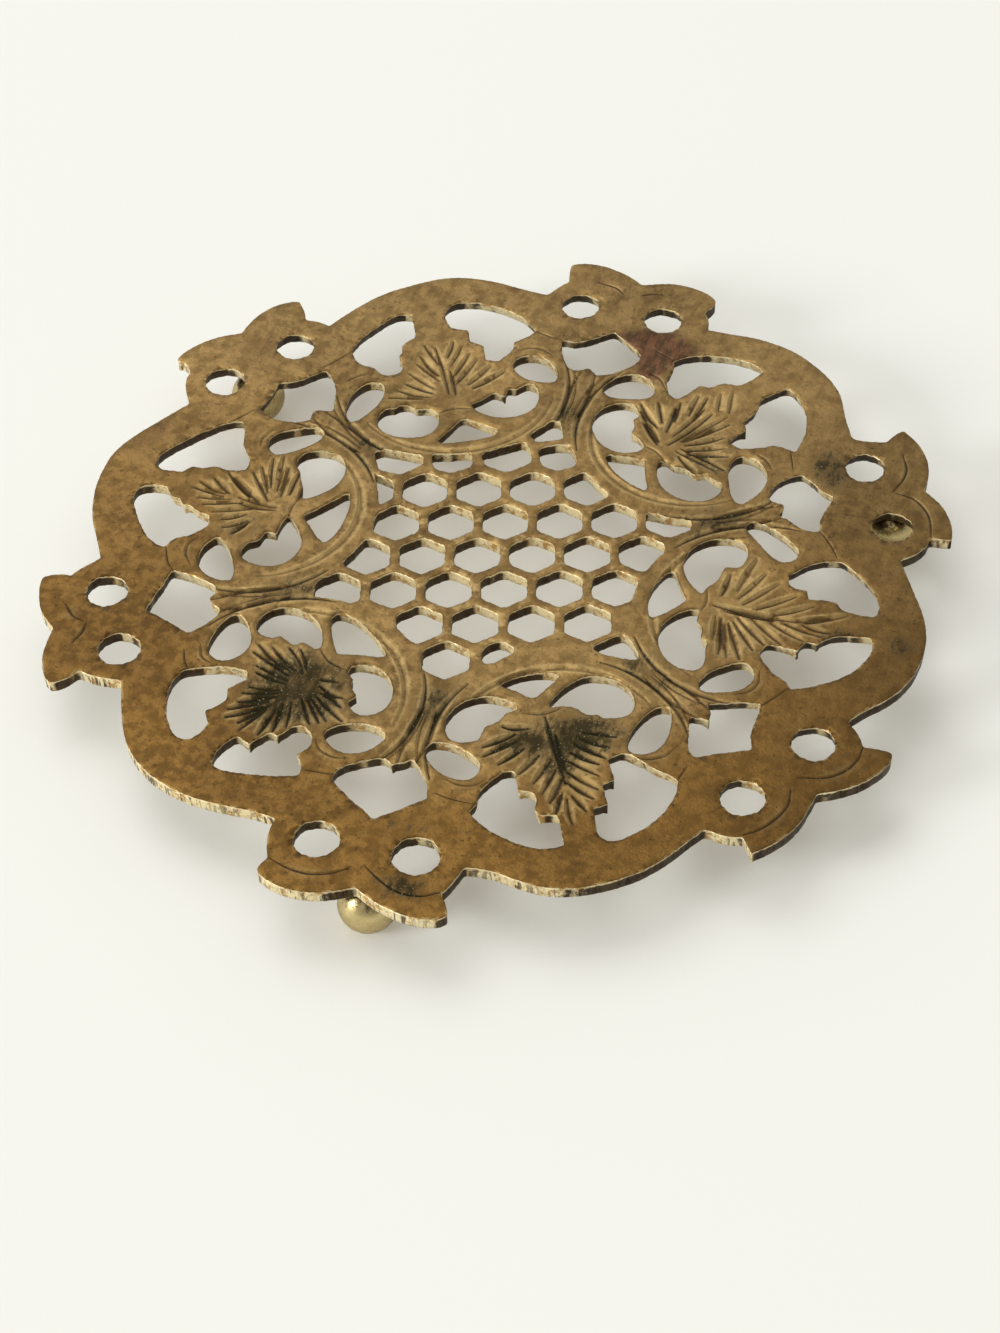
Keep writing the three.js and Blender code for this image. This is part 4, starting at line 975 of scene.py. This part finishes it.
def sawn_brass():
    """Rough champagne walls with granular dirt, and upright ticks of a chisel on the rim, made
    of noise on the outline's own map, stretched down the wall. Walls that face away from the
    light are painted dark as shade."""
    material, tree, shader, place = metal_material("sawn_brass")
    wall = node(tree, "ShaderNodeUVMap", {"uv_map": "wall"}).outputs["UV"]
    upright = node(tree, "ShaderNodeMapping", Vector=wall, Scale=(1.0, 0.15, 1.0))
    slow = node(tree, "ShaderNodeMapping", Vector=wall, Scale=(1.0, 0.0, 1.0))
    ticks = noise(tree, upright.outputs["Vector"], 13.0, 3.0, 0.6)
    stretches = noise(tree, slow.outputs["Vector"], 1.6, 2.0, 0.5)
    lumps = noise(tree, place, 520.0, 5.0, 0.75)
    skin = blend(tree, spread_over(tree, lumps, 0.38, 0.52), WALL_TAN, WALL_GOLD)
    ticked = spread_over(tree, ticks, 0.5, 0.43)
    stretch = spread_over(tree, stretches, 0.4, 0.6)
    on_rim = times(tree, painted(tree, "rim"), spread_over(tree, stretches, 0.36, 0.6, 0.25, 0.95))
    skin = blend(tree, times(tree, ticked, on_rim), skin, WALL_BLACK)
    # The wall mask holds painted shade on the walls that face away from the light, and uneven dirt; the
    # lumps add granular dirt.
    dirt_and_painted_light = sums(tree, "ADD", painted(tree, "dirt_and_painted_light"), times(tree, sums(tree, "SUBTRACT", lumps, 0.5), 1.6))
    dirt_and_painted_light = sums(tree, "ADD", dirt_and_painted_light, times(tree, sums(tree, "SUBTRACT", stretch, 0.5), 0.3))
    darkened = spread_over(tree, dirt_and_painted_light, 0.3, 0.7)
    skin = blend(tree, times(tree, darkened, 0.94), skin, WALL_BLACK)
    tree.links.new(skin, shader.inputs["Base Color"])
    tree.links.new(spread_over(tree, darkened, 0, 1, 0.6, 0.12), shader.inputs["Specular IOR Level"])
    shader.inputs["Metallic"].default_value = 0.3
    tree.links.new(spread_over(tree, lumps, 0.3, 0.7, 0.46, 0.26), shader.inputs["Roughness"])
    rough = sums(tree, "ADD", lumps, times(tree, ticks, 0.7))
    bumped(tree, shader, rough, 0.0004, 0.6)
    return material


# %% The cast underside
UNDER_DARK = colour(84, 62, 30)
UNDER_LIGHT = colour(136, 104, 54)


def cast_underside():
    material, tree, shader, place = metal_material("cast_underside")
    mottle = use_group(tree, MOTTLE, Place=place)
    skin = clouds_over(tree, mottle, UNDER_DARK, UNDER_LIGHT)
    skin = blend(tree, times(tree, mottle["Specks"], 0.6), skin, WALL_BLACK)
    tree.links.new(skin, shader.inputs["Base Color"])
    shader.inputs["Metallic"].default_value = 0.75
    tree.links.new(spread_over(tree, mottle["Fine"], 0, 1, 0.5, 0.65), shader.inputs["Roughness"])
    bumped(tree, shader, use_group(tree, GRAIN, Place=place)["Height"], 0.0004, 0.7)
    return material


# %% [markdown]
# ## Where the patina lies
# Some marks belong to this one trivet: black-green grime packed into the leaf left of the front
# foot, a dark patch beside a hole, a copper blush on the far side. Each is a soft ellipse in a
# leaf's or an ear's frame, stored on the plate's points as a mask for the material to break up.
# The walls that face away from the light, to the right, are painted nearly black as shade, and
# those that face left stay bright. The walls' mask for this shade and for uneven dirt comes from
# the direction that each one faces and from how far it leans in.

# %% Masks for grime, copper and edges
GRIME_SPOTS = [
    (LEAF_ANGLES[5], (0.4, 53.5), (10.5, 12.5), 0.76),
    (LEAF_ANGLES[0], (-4, 51), (9.5, 7), 0.88),
    (LEAF_ANGLES[0], (5, 50.5), (7, 5), 0.75),
    (LEAF_ANGLES[0], (0, 56), (4, 8), 0.62),
    (LEAF_ANGLES[2], (7, 50), (8, 4), 0.4),
    (LEAF_ANGLES[4], (-6, 54), (5, 4), 0.35),
    (EAR_ANGLES[0], (-10.5, 87.2), (6.5, 3.6), 0.62),
    (EAR_ANGLES[0], (-4, 74), (9, 5), 0.3),
    (EAR_ANGLES[2], (-10, 71.5), (6.5, 5), 0.6),
    (LEAF_ANGLES[1], (1.5, 72), (3, 5), 0.7),
    (LEAF_ANGLES[1], (0.5, 83), (4, 4), 0.45),
]
JUNCTION_GRIME = (0.48, 43.0, 4.5, 9.0)
# The side that the light comes from: walls that face away from it are painted dark as shade.
LIT_SIDE = math.radians(-165)
TICKED_ELSEWHERE = 0.15
# Walls are darker the further they lean in under the plate.
LEAN_DARKENING = 0.3
# How dirty each kind of wall is all over, and how unevenly.
WALL_DIRT = {
    "outer": (0.0, 0.7),
    "cell": (-0.05, 0.7),
    "window": (0.0, 1.7),
    "ear_hole": (0.35, 1.6),
    "side_hole": (0.05, 1.2),
    "bar": (0.0, 1.0),
}
COPPER_SPOTS = [
    (EAR_ANGLES[3], (10.5, 70.5), (10.5, 6), 1.0),
    (EAR_ANGLES[3], (12, 64.5), (4, 5), 0.9),
    (EAR_ANGLES[4], (5, 84), (8, 6), 0.3),
    (LEAF_ANGLES[4], (14, 84), (9, 5), 0.35),
]


def spot_mask(points, spots):
    """The strongest of several soft ellipses at each point."""
    mask = np.zeros(len(points))
    for angle, centre, radii, strength in spots:
        local = points @ turned([(1, 0), (0, 1)], angle).T
        away = np.linalg.norm((local - np.array(centre)) / np.array(radii), axis=1)
        mask = np.maximum(mask, strength * np.clip(1.35 - away, 0, 1))
    return mask


def junction_spots():
    """Grime where two rings meet the stem of each ear."""
    strength, outwards, across, along_stem = JUNCTION_GRIME
    return [(angle, (0, outwards), (across, along_stem), strength) for angle in EAR_ANGLES]


def set_mask(made, name, values):
    mask = made.data.attributes.new(name, "FLOAT", "POINT")
    mask.data.foreach_set("value", values.astype(np.float32))


def padded_mask(values, rim_values):
    """A mask of the top's points, carried down the walls and left at nought underneath."""
    return np.concatenate([values, np.zeros(under_count)] + [rim_values] * len(WALL_ROWS))


plate = mesh_object(
    "chased_plate", places, faces, face_groups, [patinated_brass(), sawn_brass(), cast_underside()]
)
grime = spot_mask(top_xy, GRIME_SPOTS + junction_spots())
set_mask(plate, "grime", padded_mask(grime, grime[top_rim]))
set_mask(plate, "copper", padded_mask(spot_mask(top_xy, COPPER_SPOTS), np.zeros(rim_count)))
set_mask(plate, "cut", padded_mask(top_cut, np.zeros(rim_count)))
set_mask(plate, "edge", padded_mask(top_edge, np.ones(rim_count)))
set_mask(plate, "crest", padded_mask(top_crest, np.zeros(rim_count)))
rim = over_loops([1.0 if kind == "outer" else TICKED_ELSEWHERE for kind in kinds])
facing = -inwards @ np.array([math.cos(LIT_SIDE), math.sin(LIT_SIDE)])
settled, uneven = (over_loops(part) for part in zip(*[WALL_DIRT[kind] for kind in kinds]))
# Walls that face away from the light are painted dark as shade; each kind's own dirt and uneven dirt are
# added.
facing_away_shade = np.clip((0.1 - facing) / 0.5, 0, 1)
wall_shade_and_dirt = facing_away_shade + uneven * (waves(outline, 3, 3) - 0.5) + settled
wall_shade_and_dirt = evened(wall_shade_and_dirt + LEAN_DARKENING * np.clip(lean, 0, 1), 1)
set_mask(plate, "rim", padded_mask(np.zeros(top_count), rim))
set_mask(plate, "dirt_and_painted_light", padded_mask(np.zeros(top_count), wall_shade_and_dirt))
print("grimy points", int((grime > 0.4).sum()), "of", top_count)


# %% A map along the walls, for the saw marks
def wall_map():
    """Distance along the outline and height, both in centimetres, at each corner of each face.
    A loop's last face runs on to its full length, so that the marks don't jump back there."""
    travelled, starts = [], 0.0
    ahead = []
    for loop in loops:
        distance, length = along(loop)
        travelled.append(starts + distance)
        ahead.append(starts + np.append(distance[1:], length))
        starts += length
    travelled, ahead = np.concatenate(travelled), np.concatenate(ahead)
    rows = []
    heights = [rim_z, *rows_z, np.full(rim_count, UNDER)]
    for upper, lower in zip(heights[:-1], heights[1:]):
        u = np.stack([travelled, travelled, ahead, ahead], axis=1)
        v = np.stack([upper, lower, lower[following], upper[following]], axis=1)
        rows.append(np.stack([u, v], axis=2).reshape(-1, 2))
    return np.vstack(rows) / 10


wall_uv = wall_map()
corner_count = 3 * (len(top_faces) + len(under_faces))
uv = np.vstack([np.zeros((corner_count, 2)), wall_uv])
plate.data.uv_layers.new(name="wall").data.foreach_set("uv", uv.ravel().astype(np.float32))
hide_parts(PLATE)
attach(plate, "root")
print("wall map", wall_uv.min(axis=0).round(2), wall_uv.max(axis=0).round(2))

# %% [markdown]
# ## Ball feet
# Each foot was turned on a lathe and brazed under an ear. A turned piece is a profile carried
# round an axis: radius and height along the profile one way, the angle the other. The ball has a
# worn flat where it stands and a small fillet of braze where it meets the plate, and the top of
# the ball, just under the plate, is painted dark as shade.

# %% Turned balls
BALL_SIDES = 72
BALL_STEPS = 40
BRAZE_RADIUS = 3.1
BRAZE_HEIGHT = 0.45
FLAT_RADIUS = 1.5
SEAT_RADIUS = 2.5
# The CAD ball has flat sides, so its box is a little narrower than the ball it stands for.
CAD_BALL, CAD_BALL_BOX = 5.8, 5.775
# Painted shade on the ball's top, under the plate.
BALL_TOP_SHADE = colour(50, 35, 18)
BALL_DARK = colour(204, 176, 112)
BALL_LIGHT = colour(240, 220, 164)


def turned_brass():
    material, tree, shader, place = metal_material("turned_brass")
    mottle = use_group(tree, MOTTLE, Place=place)
    skin = clouds_over(tree, mottle, BALL_DARK, BALL_LIGHT)
    skin = blend(tree, times(tree, mottle["Specks"], 0.3), skin, WALL_TAN)
    height = node(tree, "ShaderNodeSeparateXYZ", Vector=place).outputs["Z"]
    # The ball's top, just under the plate, is painted dark as shade.
    under_plate_shade = sums(tree, "ADD", times(tree, height, 1000.0), times(tree, mottle["Fine"], 2.0))
    skin = blend(tree, spread_over(tree, under_plate_shade, 9.2, 11.6, 0.0, 0.95), skin, BALL_TOP_SHADE)
    tree.links.new(skin, shader.inputs["Base Color"])
    shader.inputs["Metallic"].default_value = 0.95
    tree.links.new(spread_over(tree, mottle["Fine"], 0, 1, 0.24, 0.36), shader.inputs["Roughness"])
    bumped(tree, shader, use_group(tree, GRAIN, Place=place)["Height"], 0.0001, 0.4)
    return material


def ball_profile(radius, flat, seat, height):
    """Radius and height from the flat, round the ball and out along the braze fillet."""
    centre = math.sqrt(radius**2 - flat**2)
    angles = np.linspace(math.asin(-centre / radius), math.acos(seat / radius), BALL_STEPS)
    ball = np.stack([radius * np.cos(angles), centre + radius * np.sin(angles)], axis=1)
    t = np.linspace(0.2, 1, 5)
    fillet = np.stack([seat + (BRAZE_RADIUS - seat) * t**2, height - BRAZE_HEIGHT * (1 - t)], axis=1)
    ball = ball[ball[:, 1] < height - BRAZE_HEIGHT]
    ball[0, 1] = 0.0
    return np.vstack([[(0.0, 0.0)], ball, fillet, [(0.0, height)]])


def turned_foot(node_name, material):
    low, high = (np.array(corner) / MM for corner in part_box(node_name))
    radius = (high[1] - low[1]) / 2 * CAD_BALL / CAD_BALL_BOX
    centre = (low + high) / 2
    profile = ball_profile(radius, FLAT_RADIUS, SEAT_RADIUS, UNDER)
    angles = np.linspace(0, 2 * math.pi, BALL_SIDES, endpoint=False)
    ring = np.stack([np.cos(angles), np.sin(angles)], axis=1)
    body = profile[1:-1]
    around = centre[:2] + body[:, None, :1] * ring[None]
    heights = np.broadcast_to(body[:, None, 1:], (len(body), BALL_SIDES, 1))
    points = np.concatenate([around, heights], axis=2).reshape(-1, 3)
    points = np.vstack([points, [(*centre[:2], 0.0), (*centre[:2], UNDER)]])
    numbers = np.arange(len(body) * BALL_SIDES).reshape(len(body), BALL_SIDES)
    ahead = np.roll(numbers, -1, axis=1)
    quads = np.stack([numbers[:-1], ahead[:-1], ahead[1:], numbers[1:]], axis=2).reshape(-1, 4)
    bottom, top = (np.full(BALL_SIDES, len(points) - back) for back in (2, 1))
    under = np.stack([bottom, ahead[0], numbers[0]], axis=1)
    over = np.stack([top, numbers[-1], ahead[-1]], axis=1)
    faces = quads.tolist() + under.tolist() + over.tolist()
    name = node_name.replace("ball_foot", "turned_ball")
    foot = mesh_object(name, points, faces, np.zeros(len(faces), np.int32), [material])
    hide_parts(node_name)
    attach(foot, "root")
    return foot


turned_material = turned_brass()
feet = [turned_foot(name, turned_material) for name in FEET]
print("feet", [foot.name for foot in feet])

# %% [markdown]
# ## Floor and light
# The trivet stands on a plain off-white table in soft light from behind and left. A large
# lamp makes that light, a low one at the front left brightens the walls that face it, and the
# world fills the rest, brighter on the window's side, so that the two sides of every opening
# differ. The table glows a little, for the camera alone, so that its shadows stay light.

# %% Floor
FLOOR_SIZE = 3.0
FLOOR_COLOUR = colour(211, 214, 212)
FLOOR_GLOW = 0.22
FLOOR_GLOW_COLOUR = colour(255, 245, 222)


def floor_material():
    material = bpy.data.materials.new("table_top")
    material.use_nodes = True
    tree = material.node_tree
    shader = tree.nodes["Principled BSDF"]
    shader.inputs["Base Color"].default_value = FLOOR_COLOUR
    shader.inputs["Roughness"].default_value = 0.75
    shader.inputs["Specular IOR Level"].default_value = 0.2
    shader.inputs["Emission Color"].default_value = FLOOR_GLOW_COLOUR
    seen = tree.nodes.new("ShaderNodeLightPath").outputs["Is Camera Ray"]
    tree.links.new(times(tree, seen, FLOOR_GLOW), shader.inputs["Emission Strength"])
    return material


corners = np.array([(-1, -1, 0), (1, -1, 0), (1, 1, 0), (-1, 1, 0)]) * FLOOR_SIZE / MM
floor = mesh_object("table_top", corners, [[0, 1, 2, 3]], np.zeros(1, np.int32), [floor_material()])
print("floor", floor.dimensions)

# %% Lamps and world
WINDOW_PLACE = (-3.0, 2.4, 6.0)
WINDOW_SIZE = 5.0
WINDOW_POWER = 160.0
LOW_PLACE = (-3.4, -3.2, 2.0)
LOW_SIZE = 1.6
LOW_POWER = 150.0
LAMP_TINT = (1.0, 0.99, 0.975)
DIM_SIDE, BRIGHT_SIDE = 0.3, 0.78
BRIGHT_WAY = (-0.7, 0.5, 0.6)


def soft_lamp(name, place, size, power):
    """A square lamp that faces the trivet."""
    data = bpy.data.lights.new(name, "AREA")
    data.size = size
    data.energy = power
    data.color = LAMP_TINT
    lamp = bpy.data.objects.new(name, data)
    lamp.location = place
    lamp.rotation_mode = "QUATERNION"
    lamp.rotation_quaternion = (-Vector(place)).to_track_quat("-Z", "Y")
    bpy.context.scene.collection.objects.link(lamp)
    return lamp


soft_lamp("window", WINDOW_PLACE, WINDOW_SIZE, WINDOW_POWER)
soft_lamp("low_window", LOW_PLACE, LOW_SIZE, LOW_POWER)

world = bpy.data.worlds.new("room")
bpy.context.scene.world = world
world.use_nodes = True
sky = world.node_tree
sky.nodes.clear()
direction = sky.nodes.new("ShaderNodeTexCoord").outputs["Generated"]
side = node(sky, "ShaderNodeVectorMath", {"operation": "DOT_PRODUCT"})
sky.links.new(direction, side.inputs[0])
side.inputs[1].default_value = BRIGHT_WAY
glow = spread_over(sky, side.outputs["Value"], -0.7, 0.8, DIM_SIDE, BRIGHT_SIDE)
seen = node(sky, "ShaderNodeLightPath").outputs["Is Camera Ray"]
strength = sums(sky, "MAXIMUM", glow, seen)
room = node(sky, "ShaderNodeBackground", Color=colour(250, 249, 246), Strength=strength)
sky.links.new(room.outputs[0], node(sky, "ShaderNodeOutputWorld").inputs[0])

bpy.context.scene.view_settings.view_transform = "Standard"
